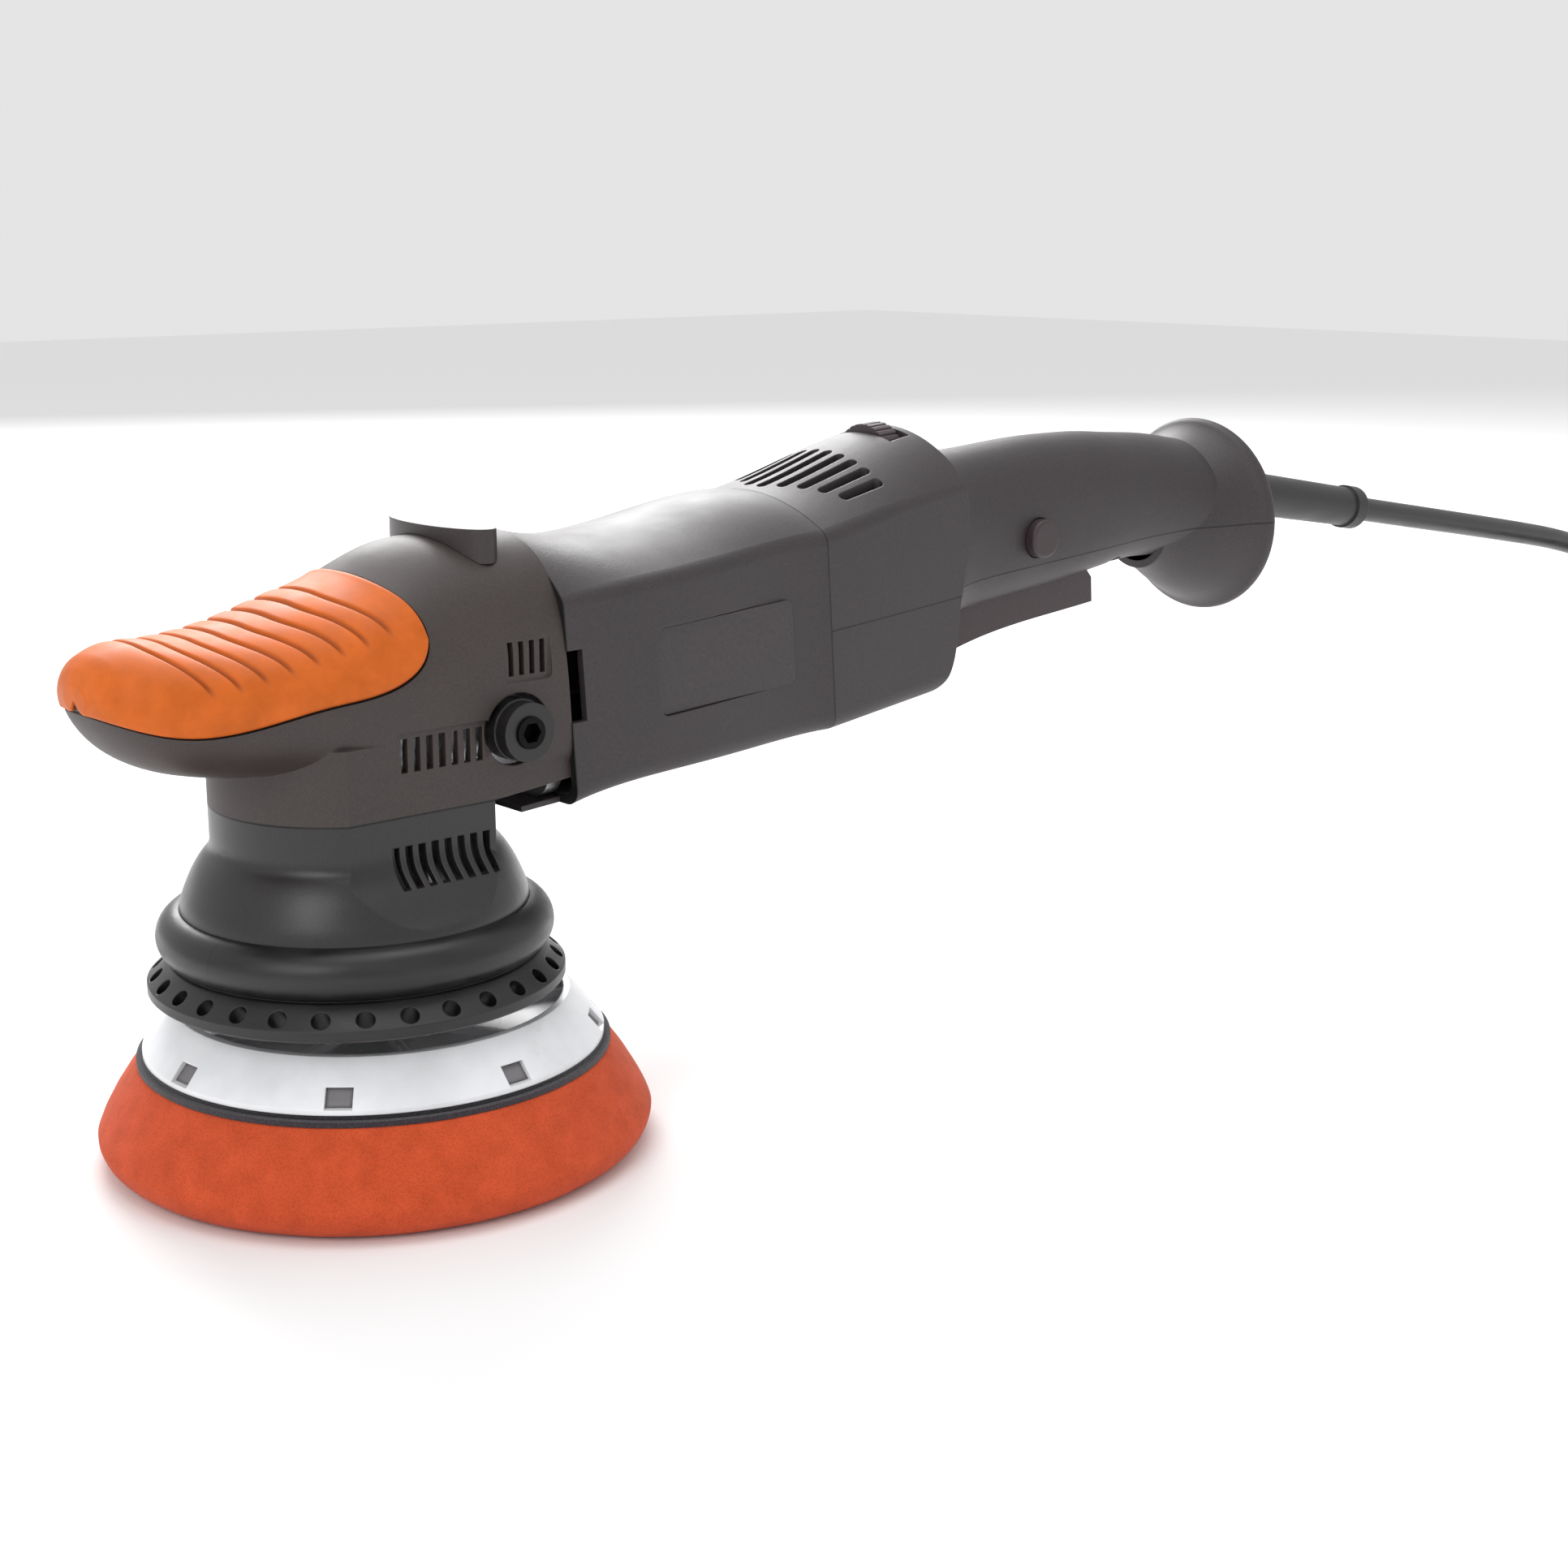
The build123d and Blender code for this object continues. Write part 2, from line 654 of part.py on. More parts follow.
# ---------------------------------------------------------------- gear housing
chamber_radius = 26.8
chamber_bore = 24.6
chamber_floor = 100.5
chamber_top = 136.0
tunnel_half_width = 21.0
gear_flange_half_width = 27.0
gear_flange_thickness = 4.6
side_boss_radius = 6.5
side_bolt_radius = 3.0
head_screw_radius = 2.0
head_screw_reach = 10.0
head_screw_places = ((-24, 16), (24, 16), (-23, -26), (23, -26))  # to the side, over the motor axis
with BuildPart() as gear_housing:
    with BuildSketch(Plane.XY.offset(bearing_plate_bottom + lower_bearing_width + 1.5)):
        Circle(lower_bearing_radius + 3)
    extrude(amount=chamber_floor - bearing_plate_bottom - lower_bearing_width)
    with BuildSketch(Plane.XY.offset(parting_height)):
        Circle(chamber_radius)
    extrude(amount=chamber_top + 2 - parting_height)
    with BuildSketch(station_plane(8)):
        with Locations((0, -1)):
            RectangleRounded(2 * tunnel_half_width, 38, 6)
    extrude(amount=head_split - 8)
    with BuildSketch(station_plane(head_split - gear_flange_thickness)):
        with Locations((0, -6.4)):
            RectangleRounded(2 * gear_flange_half_width, 54.4, 8)
    extrude(amount=gear_flange_thickness)
    with BuildSketch(Plane.XZ.offset(-28.5)):
        with Locations((side_bolt_x, side_bolt_height)):
            Circle(side_boss_radius)
    extrude(amount=57)
    with BuildSketch(Plane.XY.offset(chamber_floor + 1.5)):
        Circle(chamber_bore)
    extrude(amount=chamber_top - chamber_floor - 1.5, mode=Mode.SUBTRACT)
    with BuildSketch(station_plane(12)):
        Circle(front_race_radius - 1.5)
    extrude(amount=head_split, mode=Mode.SUBTRACT)
    with BuildSketch(station_plane(front_race_front)):
        Circle(front_race_radius)
    extrude(amount=head_split, mode=Mode.SUBTRACT)
    with BuildSketch(Plane.XY.offset(upper_bearing_bottom)):
        Circle(upper_bearing_radius)
    extrude(amount=upper_bearing_width, mode=Mode.SUBTRACT)
    with BuildSketch(Plane.XY.offset(upper_bearing_bottom + upper_bearing_width - 1)):
        Circle(upper_bearing_radius - 2)
    extrude(amount=8, mode=Mode.SUBTRACT)
    with BuildSketch(Plane.XY.offset(bearing_plate_bottom)):
        Circle(11)
    extrude(amount=upper_bearing_bottom - bearing_plate_bottom, mode=Mode.SUBTRACT)
    with BuildSketch(Plane.XZ.offset(-28.5)):
        with Locations((side_bolt_x, side_bolt_height)):
            Circle(side_bolt_radius)
    extrude(amount=8, mode=Mode.SUBTRACT)
    with BuildSketch(Plane.XZ.offset(28.5)):
        with Locations((side_bolt_x, side_bolt_height)):
            Circle(side_bolt_radius)
    extrude(amount=-8, mode=Mode.SUBTRACT)
    with BuildSketch(station_plane(head_split)):
        with Locations(*head_screw_places):
            Circle(head_screw_radius)
    extrude(amount=-gear_flange_thickness, mode=Mode.SUBTRACT)
finish(gear_housing, "gear_housing")

# ---------------------------------------------------------------- head cover and palm grip
head_section_spacing = 9.0
# x, half width, height of the widest line, top, bottom, power above, power below
head_sections = (
    (-74.5, 6.5, 134.0, 137.6, 130.4, 2.0, 2.0),
    (-73.0, 12.5, 133.5, 140.8, 126.2, 2.0, 2.0),
    (-69.0, 18.8, 132.4, 143.6, 120.8, 2.1, 2.1),
    (-62.0, 23.4, 131.0, 145.4, 115.8, 2.2, 2.3),
    (-53.0, 26.6, 130.0, 144.9, 112.6, 2.3, 2.4),
    (-42.0, 28.7, 130.0, 145.6, 110.6, 2.3, 2.6),
    (-30.0, 30.2, 130.4, 148.0, 109.4, 2.2, 2.8),
    (-16.0, 31.4, 131.0, 152.2, 106.4, 2.2, 3.5),
    (-3.0, 32.0, 131.5, 156.4, 103.0, 2.2, 4.5),
    (7.0, 32.2, 131.0, 162.0, 102.5, 2.0, 5.0),
    (16.0, 32.2, 129.0, 164.6, 102.0, 2.1, 5.5),
    (32.0, 32.6, 128.0, 165.2, 102.0, 2.5, 6.0),
    (44.0, 33.0, 128.0, 165.4, 101.5, 2.8, 6.2),
    (54.0, 33.4, 128.0, 165.6, 101.0, 3.0, 6.5),
)


def head_solid(inset, first, last):
    """The head's body from one of its sections to another, drawn in by inset all round."""
    sections = [
        oval_section(
            Plane.YZ.offset(x),
            half_width - inset,
            middle,
            top - inset,
            bottom + inset,
            above,
            below,
        )
        for x, half_width, middle, top, bottom, above, below in faired(
            head_sections[first:last], head_section_spacing
        )
    ]
    with BuildPart() as body:
        loft(sections=sections)
    return body.part


grip_outline = (
    (-95.0, 138.0),
    (-83.0, 134.6),
    (-72.0, 129.5),
    (-60.0, 126.0),
    (-46.0, 126.1),
    (-23.5, 129.6),
    (-2.5, 133.4),
    (4.2, 138.6),
    (6.0, 145.0),
    (3.6, 152.5),
    (-1.0, 158.0),
    (-4.0, 164.0),
)


def grip_region(margin):
    """What lies over the grip's lower edge and before its rear edge, as a solid across the whole width.

    The margin moves the outline down and back, which widens the region along both of those edges.
    """
    outline = [(x + margin, z - margin) for x, z in grip_outline]
    with BuildPart() as region:
        with BuildSketch(Plane.XZ.offset(-50)):
            with BuildLine():
                Spline(*outline)
                Polyline(outline[-1], (outline[0][0], outline[-1][1]), outline[0])
            make_face()
        extrude(amount=100)
    return region.part


head_outer = head_solid(0, 0, len(head_sections))
grip_groove = 0.5
neck_overlap_top = 118.0
with BuildPart() as grip_pocket:
    add(head_solid(-4, 0, len(head_sections) - 4))
    add(head_solid(grip_depth, 0, len(head_sections) - 4), mode=Mode.SUBTRACT)
    add(grip_region(grip_groove), mode=Mode.INTERSECT)

upper_slot_count = 4
upper_slot_first = 29.6
upper_slot_pitch = 3.3
upper_slot_height = 135.2
lower_slot_count = 7
lower_slot_first = -3.2
lower_slot_pitch = 3.8
lower_slot_height = 114.4
slot_length = 8.9
recess_margin = 1.7
recess_depth = 0.35
# middle x, middle z, width, distance of its floor from the plane of symmetry
slot_recesses = (
    (
        lower_slot_first + (lower_slot_count - 1) * lower_slot_pitch / 2,
        lower_slot_height,
        (lower_slot_count - 1) * lower_slot_pitch + 2 * recess_margin + 2.1,
        31.7 - recess_depth,
    ),
    (
        upper_slot_first + (upper_slot_count - 1) * upper_slot_pitch / 2,
        upper_slot_height,
        (upper_slot_count - 1) * upper_slot_pitch + 2 * recess_margin + 1.7,
        32.5 - recess_depth,
    ),
)
with BuildPart() as head_cover:
    add(head_outer)
    neck_height = neck_overlap_top - parting_height
    extrude(to_extrude=neck_outline(Plane.XY.offset(parting_height), 0), amount=neck_height)
    with BuildSketch(Plane.XY.offset(parting_height)):
        with Locations((neck_rear, 0)):
            Rectangle(60, 2 * neck_half_width)
    extrude(amount=neck_overlap_top - parting_height)
    add(head_solid(shell_wall, 2, len(head_sections)), mode=Mode.SUBTRACT)
    neck_inside = neck_outline(Plane.XY.offset(parting_height - 1), shell_wall)
    extrude(to_extrude=neck_inside, amount=neck_height + 1, mode=Mode.SUBTRACT)
    with BuildSketch(Plane.XY.offset(parting_height - 1)):
        with Locations((neck_rear + 6, 0)):
            Rectangle(72, 2 * (neck_half_width - shell_wall))
    extrude(amount=neck_overlap_top - parting_height + 1, mode=Mode.SUBTRACT)
    with BuildSketch(Plane.XZ.offset(-50)):
        Polygon(
            (neck_rear, parting_height - 5),
            (neck_rear, parting_height),
            (60, parting_height + 3.4),
            (60, parting_height - 5),
            align=None,
        )
    extrude(amount=100, mode=Mode.SUBTRACT)
    with BuildSketch(station_plane(head_split)):
        Rectangle(120, 160)
    extrude(amount=40, mode=Mode.SUBTRACT)
    add(grip_pocket.part, mode=Mode.SUBTRACT)
    for side in (-1, 1):
        for index in range(lower_slot_count):
            slot_x = lower_slot_first + index * lower_slot_pitch
            with Locations((slot_x, side * neck_half_width, lower_slot_height)):
                Box(2.1, 12, slot_length, mode=Mode.SUBTRACT)
        for index in range(upper_slot_count):
            slot_x = upper_slot_first + index * upper_slot_pitch
            with Locations((slot_x, side * neck_half_width, upper_slot_height)):
                Box(1.7, 12, slot_length, mode=Mode.SUBTRACT)
        for middle_x, middle_z, width, floor in slot_recesses:
            with BuildSketch(Plane.XZ.offset(side * floor)):
                with Locations((middle_x, middle_z)):
                    RectangleRounded(width, slot_length + 2 * recess_margin, 1.6)
            extrude(amount=side * 6, mode=Mode.SUBTRACT)
        with BuildSketch(Plane.XZ.offset(-side * 28.5)):
            with Locations((side_bolt_x, side_bolt_height)):
                Circle(9.75)
        extrude(amount=-side * 12, mode=Mode.SUBTRACT)
finish(head_cover, "head_cover")

with BuildPart() as palm_grip:
    add(head_solid(-grip_rise, 0, len(head_sections) - 4))
    add(head_solid(grip_depth, 0, len(head_sections) - 4), mode=Mode.SUBTRACT)
    add(grip_region(0), mode=Mode.INTERSECT)
finish(palm_grip, "palm_grip")

badge_top = 168.0
badge_centre_x = 31.0
with BuildPart() as badge_plate:
    with BuildSketch(Plane.XY.offset(badge_top)):
        with Locations((badge_centre_x, 0)):
            Ellipse(8.0, 22.5)
    extrude(amount=-9)
    add(head_outer, mode=Mode.SUBTRACT)
finish(badge_plate, "badge_plate")

bolt_head_radius = 4.25
washer_radius = 7.85
washer_face = neck_half_width + 6.7
with BuildPart() as side_washers:
    for side in (-1, 1):
        with BuildSketch(Plane.XZ.offset(side * 28.5)):
            with Locations((side_bolt_x, side_bolt_height)):
                Circle(8.25)
                Circle(bolt_head_radius, mode=Mode.SUBTRACT)
        extrude(amount=side * 5)
        with BuildSketch(Plane.XZ.offset(side * 33.5)):
            with Locations((side_bolt_x, side_bolt_height)):
                Circle(washer_radius)
                Circle(bolt_head_radius, mode=Mode.SUBTRACT)
        extrude(amount=side * (washer_face - 33.5))
finish(side_washers, "side_washers")

with BuildPart() as side_bolts:
    for side in (-1, 1):
        with BuildSketch(Plane.XZ.offset(side * 21)):
            with Locations((side_bolt_x, side_bolt_height)):
                Circle(side_bolt_radius)
        extrude(amount=side * 8)
        with BuildSketch(Plane.XZ.offset(side * 28.5)):
            with Locations((side_bolt_x, side_bolt_height)):
                Circle(bolt_head_radius)
        extrude(amount=side * (washer_face + 0.8 - 28.5))
        with BuildSketch(Plane.XZ.offset(side * (washer_face + 0.8))):
            with Locations((side_bolt_x, side_bolt_height)):
                RegularPolygon(2.5, 6, major_radius=False)
        extrude(amount=-side * 4, mode=Mode.SUBTRACT)
finish(side_bolts, "side_bolts")

# ---------------------------------------------------------------- motor housing
# station, half width, shoulder, top, bottom
barrel_sections = (
    (head_split, barrel_half_width - 2.6, 20.5, 37.6, -35.4),
    (56.0, barrel_half_width - 1.2, 21.3, 34.6, -33.6),
    (67.0, barrel_half_width, 22.0, 32.3, -32.6),
    (100.0, barrel_half_width, 23.0, 32.9, -32.8),
    (rear_split, barrel_half_width, 24.2, 34.6, -33.3),
)
barrel_top_round = 5.0
barrel_bottom_round = 8.0


def barrel_solid(inset, first_station, last_station):
    """The barrel of the motor housing, drawn in by inset all round."""
    stations = [first_station] + [row[0] for row in barrel_sections[1:-1]] + [last_station]
    sections = [
        box_section(
            station_plane(place),
            half_width - inset,
            shoulder - 0.6 * inset,
            top - inset,
            bottom + inset,
            barrel_top_round - 0.5 * inset,
            barrel_bottom_round - inset,
        )
        for place, (station, half_width, shoulder, top, bottom) in zip(stations, barrel_sections)
    ]
    with BuildPart() as barrel:
        loft(sections=sections)
    return barrel.part


rating_plate_centre = (100.0, -3.6)
rating_plate_size = (49.0, 24.0)
rating_pocket_depth = 0.8
stator_rib_stations = (74.0, 95.0)
bridge_front = 129.5
bridge_rear = 137.5
with BuildPart() as stator_ribs:
    for station in stator_rib_stations:
        with BuildSketch(station_plane(station)):
            Rectangle(2 * barrel_half_width, 2 * barrel_half_width)
            Circle(stator_radius, mode=Mode.SUBTRACT)
        extrude(amount=2.5)
    with BuildSketch(station_plane(head_split)):
        with Locations(*head_screw_places):
            Circle(head_screw_radius + 1.5)
        for across, rise in head_screw_places:
            with Locations((math.copysign(barrel_half_width - 6, across), rise)):
                Rectangle(12, 2.4)
    extrude(amount=head_screw_reach + 2)
    add(barrel_solid(shell_wall / 2, head_split, rear_split), mode=Mode.INTERSECT)
    with BuildSketch(station_plane(head_split)):
        with Locations(*head_screw_places):
            Circle(head_screw_radius)
    extrude(amount=head_screw_reach + 1, mode=Mode.SUBTRACT)

with BuildPart() as motor_housing:
    add(barrel_solid(0, head_split, rear_split))
    add(barrel_solid(shell_wall, head_split - 1, rear_split + 1), mode=Mode.SUBTRACT)
    for side in (-1, 1):
        with BuildSketch(side_plane(side * (barrel_half_width - rating_pocket_depth))):
            with Locations(rating_plate_centre):
                RectangleRounded(rating_plate_size[0] + 0.6, rating_plate_size[1] + 0.6, 2.6)
        extrude(amount=side * 5, mode=Mode.SUBTRACT)
        with BuildSketch(side_plane(side * 28)):
            with Locations((head_split + 2.2, -2.4)):
                Rectangle(4.6, 19.6)
        extrude(amount=side * 12, mode=Mode.SUBTRACT)
    with BuildSketch(station_plane(34.5)):
        with Locations((0, -34.5)):
            Rectangle(50, 1.6)
    extrude(amount=head_split - 34.5 + 2)
    add(stator_ribs.part)
    with BuildSketch(station_plane(bridge_front)):
        Rectangle(2 * barrel_half_width - 4.4, 26)
        Circle(7, mode=Mode.SUBTRACT)
    extrude(amount=bridge_rear - bridge_front)
    with BuildSketch(station_plane(rear_race_front - 0.5)):
        Circle(rear_race_radius)
    extrude(amount=bridge_rear, mode=Mode.SUBTRACT)
finish(motor_housing, "motor_housing")

with BuildPart() as rating_plates:
    for side in (-1, 1):
        with BuildSketch(side_plane(side * (barrel_half_width - rating_pocket_depth))):
            with Locations(rating_plate_centre):
                RectangleRounded(*rating_plate_size, 2.3)
        extrude(amount=side * 0.5)
finish(rating_plates, "rating_plates")

# ---------------------------------------------------------------- armature
shaft_step = pinion_hub_back
with BuildPart() as armature_shaft:
    with BuildSketch(station_plane(17.0)):
        Circle(shaft_nose_radius - seat_clearance)
    extrude(amount=shaft_step - 17.0)
    with BuildSketch(station_plane(shaft_step)):
        Circle(shaft_radius - running_clearance)
    extrude(amount=rear_race_front - 1 - shaft_step)
    with BuildSketch(station_plane(rear_race_front - 1)):
        Circle(shaft_rear_radius - running_clearance)
    extrude(amount=rear_race_width + 1)
finish(armature_shaft, "armature_shaft")

slot_total = 12
with BuildPart() as armature_core:
    with BuildSketch(station_plane(rotor_front)):
        Circle(rotor_radius)
        Circle(shaft_radius, mode=Mode.SUBTRACT)
        with PolarLocations(rotor_radius - 1.5, slot_total):
            Rectangle(5, 2.0, mode=Mode.SUBTRACT)
    extrude(amount=rotor_rear - rotor_front)
finish(armature_core, "armature_core")

with BuildPart() as armature_windings:
    add(ring(station_plane(rotor_front - 6.5), rotor_radius - 2.5, shaft_radius, 6.5))
    add(ring(station_plane(rotor_rear), rotor_radius - 2.5, shaft_radius, 7.5))
finish(armature_windings, "armature_windings")

commutator_front = 114.0
commutator_rear = 128.0
commutator_bars = 24
with BuildPart() as commutator:
    with BuildSketch(station_plane(commutator_front)):
        Circle(commutator_radius)
        Circle(shaft_radius, mode=Mode.SUBTRACT)
        with PolarLocations(commutator_radius, commutator_bars):
            Rectangle(1.6, 0.5, mode=Mode.SUBTRACT)
    extrude(amount=commutator_rear - commutator_front)
finish(commutator, "commutator")

blade_count = 11
fan_hub_radius = 9.0
blade_length = fan_radius - fan_hub_radius
blade_middle = (fan_radius + fan_hub_radius) / 2 - 0.5
with BuildPart() as fan:
    with BuildSketch(station_plane(fan_front)):
        Circle(fan_hub_radius)
        Circle(shaft_radius, mode=Mode.SUBTRACT)
    extrude(amount=fan_rear - fan_front)
    with BuildSketch(station_plane(fan_rear - 1.6)):
        Circle(fan_radius)
        Circle(shaft_radius, mode=Mode.SUBTRACT)
    extrude(amount=1.6)
    with BuildSketch(station_plane(fan_front + 1)):
        with PolarLocations(blade_middle, blade_count):
            Rectangle(blade_length, 1.4)
    extrude(amount=fan_rear - fan_front - 1.5)
finish(fan, "fan")

with BuildPart() as armature_bearing_front:
    front_rim = front_race_radius - seat_clearance
    add(ring(station_plane(front_race_front), front_rim, shaft_radius, front_race_width))
finish(armature_bearing_front, "armature_bearing_front")

with BuildPart() as armature_bearing_rear:
    rear_rim = rear_race_radius - seat_clearance
    rear_width = rear_race_width - 0.5
    add(ring(station_plane(rear_race_front), rear_rim, shaft_rear_radius, rear_width))
finish(armature_bearing_rear, "armature_bearing_rear")

with BuildPart() as stator_core:
    stator_bore = rotor_radius + air_gap
    stator_outer = stator_radius - seat_clearance
    add(ring(station_plane(rotor_front), stator_outer, stator_bore, rotor_rear - rotor_front))
finish(stator_core, "stator_core")

with BuildPart() as field_coils:
    for station, length in ((rotor_front - 6.5, 6.5), (rotor_rear, 7.0)):
        with BuildSketch(station_plane(station)):
            Circle(stator_radius - 1)
            Circle(rotor_radius + 1.5, mode=Mode.SUBTRACT)
            for side in (-1, 1):
                with Locations((side * 30, 0)):
                    Rectangle(24, 70, mode=Mode.SUBTRACT)
        extrude(amount=length)
finish(field_coils, "field_coils")

brush_station = 121.0
brush_width = 6.3
brush_height = 8.0
holder_wall = 1.2
holder_inner_end = 14.0
holder_outer_end = 32.0
with BuildPart() as brush_holders:
    for side in (-1, 1):
        with BuildSketch(side_plane(side * holder_inner_end)):
            with Locations((brush_station, 0)):
                Rectangle(brush_width + 2 * holder_wall, brush_height + 2 * holder_wall)
                Rectangle(brush_width + 0.1, brush_height + 0.1, mode=Mode.SUBTRACT)
        extrude(amount=side * (holder_outer_end - holder_inner_end))
finish(brush_holders, "brush_holders")

brush_outer_end = 24.0
with BuildPart() as carbon_brushes:
    for side in (-1, 1):
        with BuildSketch(side_plane(side * (commutator_radius + 0.1))):
            with Locations((brush_station, 0)):
                Rectangle(brush_width, brush_height)
        extrude(amount=side * (brush_outer_end - commutator_radius - 0.1))
finish(carbon_brushes, "carbon_brushes")

with BuildPart() as brush_springs:
    for side in (-1, 1):
        with BuildSketch(side_plane(side * brush_outer_end)):
            with Locations((brush_station, 0)):
                Circle(2.6)
                Circle(1.8, mode=Mode.SUBTRACT)
        extrude(amount=side * (holder_outer_end - brush_outer_end))
finish(brush_springs, "brush_springs")

with BuildPart() as head_screws:
    for across, rise in head_screw_places:
        with BuildSketch(station_plane(head_split - gear_flange_thickness, rise, across)):
            Circle(head_screw_radius - seat_clearance)
        extrude(amount=gear_flange_thickness + head_screw_reach)
        with BuildSketch(station_plane(head_split - gear_flange_thickness - 2.4, rise, across)):
            Circle(3.4)
        extrude(amount=2.4)
finish(head_screws, "head_screws")

# ---------------------------------------------------------------- rear housing and handle
# station, half width, shoulder, top, bottom
tail_sections = (
    (rear_split, barrel_half_width, 24.2, 34.6, -33.3),
    (165.0, barrel_half_width - 1.6, 27.2, 40.2, -32.3),
    (190.0, barrel_half_width - 3.4, 29.0, 45.6, -31.4),
    (206.0, barrel_half_width - 4.6, 29.0, 46.4, -30.8),
)
# station, half width, middle, top, bottom, power above, power below
handle_sections = (
    (184.0, 30.0, 6.0, 40.0, -22.0, 2.8, 3.2),
    (200.0, 25.5, 7.5, 37.0, -18.0, 2.6, 3.2),
    (212.0, 21.6, 9.0, 35.2, -15.4, 2.5, 3.2),
    (226.0, 19.6, 10.5, 35.0, -14.6, 2.4, 3.2),
    (252.0, 19.0, 11.0, 35.2, -13.9, 2.3, 3.2),
    (282.0, 18.8, 11.0, 33.6, -12.6, 2.3, 2.8),
    (300.0, 18.8, 10.0, 31.2, -11.8, 2.2, 2.4),
    (318.0, 19.6, 7.0, 28.6, -13.6, 2.1, 2.2),
    (334.0, 22.0, 2.0, 25.0, -20.0, 2.0, 2.0),
)


def tail_solid(inset):
    """Box, handle and end flange of the rear housing in one piece, drawn in by inset all round."""
    stations = [tail_sections[0][0] - inset] + [row[0] for row in tail_sections[1:]]
    box_sections = [
        box_section(
            station_plane(place),
            half_width - inset,
            shoulder - 0.6 * inset,
            top - inset,
            bottom + inset,
            barrel_top_round - 0.5 * inset,
            barrel_bottom_round - inset,
        )
        for place, (station, half_width, shoulder, top, bottom) in zip(stations, tail_sections)
    ]
    grip_sections = [
        oval_section(
            station_plane(station),
            half_width - inset,
            middle,
            top - inset,
            bottom + inset,
            above,
            below,
        )
        for station, half_width, middle, top, bottom, above, below in faired(handle_sections, 14.0)
    ]
    with BuildPart() as tail:
        loft(sections=box_sections)
        with BuildSketch(side_plane(-60)):
            with BuildLine():
                Polyline((182.0 - inset, -60), (182.0 - inset, -32.0))
                Spline(
                    (182.0 - inset, -32.0),
                    (191.0 - inset, -25.0),
                    (195.5 - inset, -8.0),
                    (200.5 - inset, 10.0),
                    (201.0 - inset, 24.0),
                    (199.0 - inset, 40.0),
                    (196.5 - inset, 50.0),
                )
                Polyline(
                    (196.5 - inset, 50.0), (196.5 - inset, 80), (240, 80), (240, -60), (182.0 - inset, -60)
                )
            make_face()
        extrude(amount=120, mode=Mode.SUBTRACT)
    with BuildPart() as grip:
        loft(sections=grip_sections)
    with BuildPart() as end_flange:
        flange_origin = motor_point(0, seam_height)
        flange_profile = Plane(origin=flange_origin, x_dir=motor_direction, z_dir=(0, -1, 0))
        with BuildSketch(flange_profile):
            with BuildLine():
                base = flange_station
                rim = flange_radius - inset
                Spline(
                    (base - 34, 14 - inset),
                    (base - 22, 20.0 - inset),
                    (base - 10, 27.6 - inset),
                    (base - 3.2, rim - 1.0),
                    tangents=((1, 0.25), (1, 1.2)),
                )
                ThreePointArc((base - 3.2, rim - 1.0), (base - 0.2, rim), (base + 2.2 - inset, rim - 2.6))
                ThreePointArc(
                    (base + 2.2 - inset, rim - 2.6), (base + 7.6 - inset, 16), (base + 9.8 - inset, 0)
                )
                Polyline((base + 9.8 - inset, 0), (base - 34, 0), (base - 34, 14 - inset))
            make_face()
        revolve(axis=Axis(flange_origin, motor_direction))
    with BuildPart() as whole:
        add(tail.part)
        add(grip.part)
        add(end_flange.part)
    return whole.part


relief_frame = Plane(
    origin=(379.0, 0, 148.8),
    x_dir=(0, 1, 0),
    z_dir=(
        math.cos(math.radians(cord_exit_angle)),
        0,
        -math.sin(math.radians(cord_exit_angle)),
    ),
)
relief_start = -44.0
relief_neck = 55.5
relief_end = 62.0
relief_start_radius = 7.9
relief_neck_radius = 7.25
relief_collar_radius = 8.0


def relief_cone(margin, start, end):
    """The strain relief's cone between two stations along its own axis."""
    slope = (relief_neck_radius - relief_start_radius) / (relief_neck - relief_start)
    with BuildPart() as cone:
        for station in (start, end):
            with BuildSketch(relief_frame.offset(station)):
                Circle(relief_start_radius + slope * (station - relief_start) + margin)
        loft(ruled=True)
    return cone.part


tail_outer = tail_solid(0)
tail_inner = tail_solid(shell_wall)
# station, side, depth of the head's seat below the seam
screw_places = ((150.0, 27.5, 6.0), (150.0, -27.5, 6.0), (291.5, -8.5, 2.9), (308.0, 8.5, 2.9))
screw_reach = 11.0  # over the seam
screw_bore = 1.9
boss_radius = 4.2
top_slot_count = 10
top_slot_pitch = 5.6
top_slot_width = 3.4
top_slot_start = 14.0  # rise of the cut's lower end, inside the shell
trigger_slot_front = 203.0
trigger_slot_rear = 282.5

with BuildPart() as tail_shell:
    add(tail_outer)
    add(tail_inner, mode=Mode.SUBTRACT)
with BuildPart() as screw_bosses:
    for station, side, seat_depth in screw_places:
        with BuildSketch(rise_plane(station, -40, side)):
            Circle(boss_radius)
        extrude(amount=85)
    add(tail_outer, mode=Mode.INTERSECT)
with BuildPart() as tail_cuts:
    add(relief_cone(0, relief_start, 0))
    with BuildSketch(relief_frame.offset(relief_start)):
        Circle(cord_radius + 0.6)
    extrude(amount=-22)
    with BuildSketch(rise_plane(dial_station, 30)):
        with Locations((0, 0)):
            Rectangle(2 * dial_radius + 1.2, dial_width + 1.0)
    extrude(amount=24)
    with BuildSketch(side_plane(0)):
        with Locations((lock_button_station, lock_button_rise)):
            Circle(lock_button_radius + button_clearance)
    extrude(amount=40)
    trigger_slot_length = trigger_slot_rear - trigger_slot_front
    trigger_slot_centre = (trigger_slot_rear + trigger_slot_front) / 2
    with BuildSketch(rise_plane(trigger_slot_centre, seam_height)):
        Rectangle(2 * (trigger_half_width + trigger_slot_gap), trigger_slot_length)
    extrude(amount=-50)

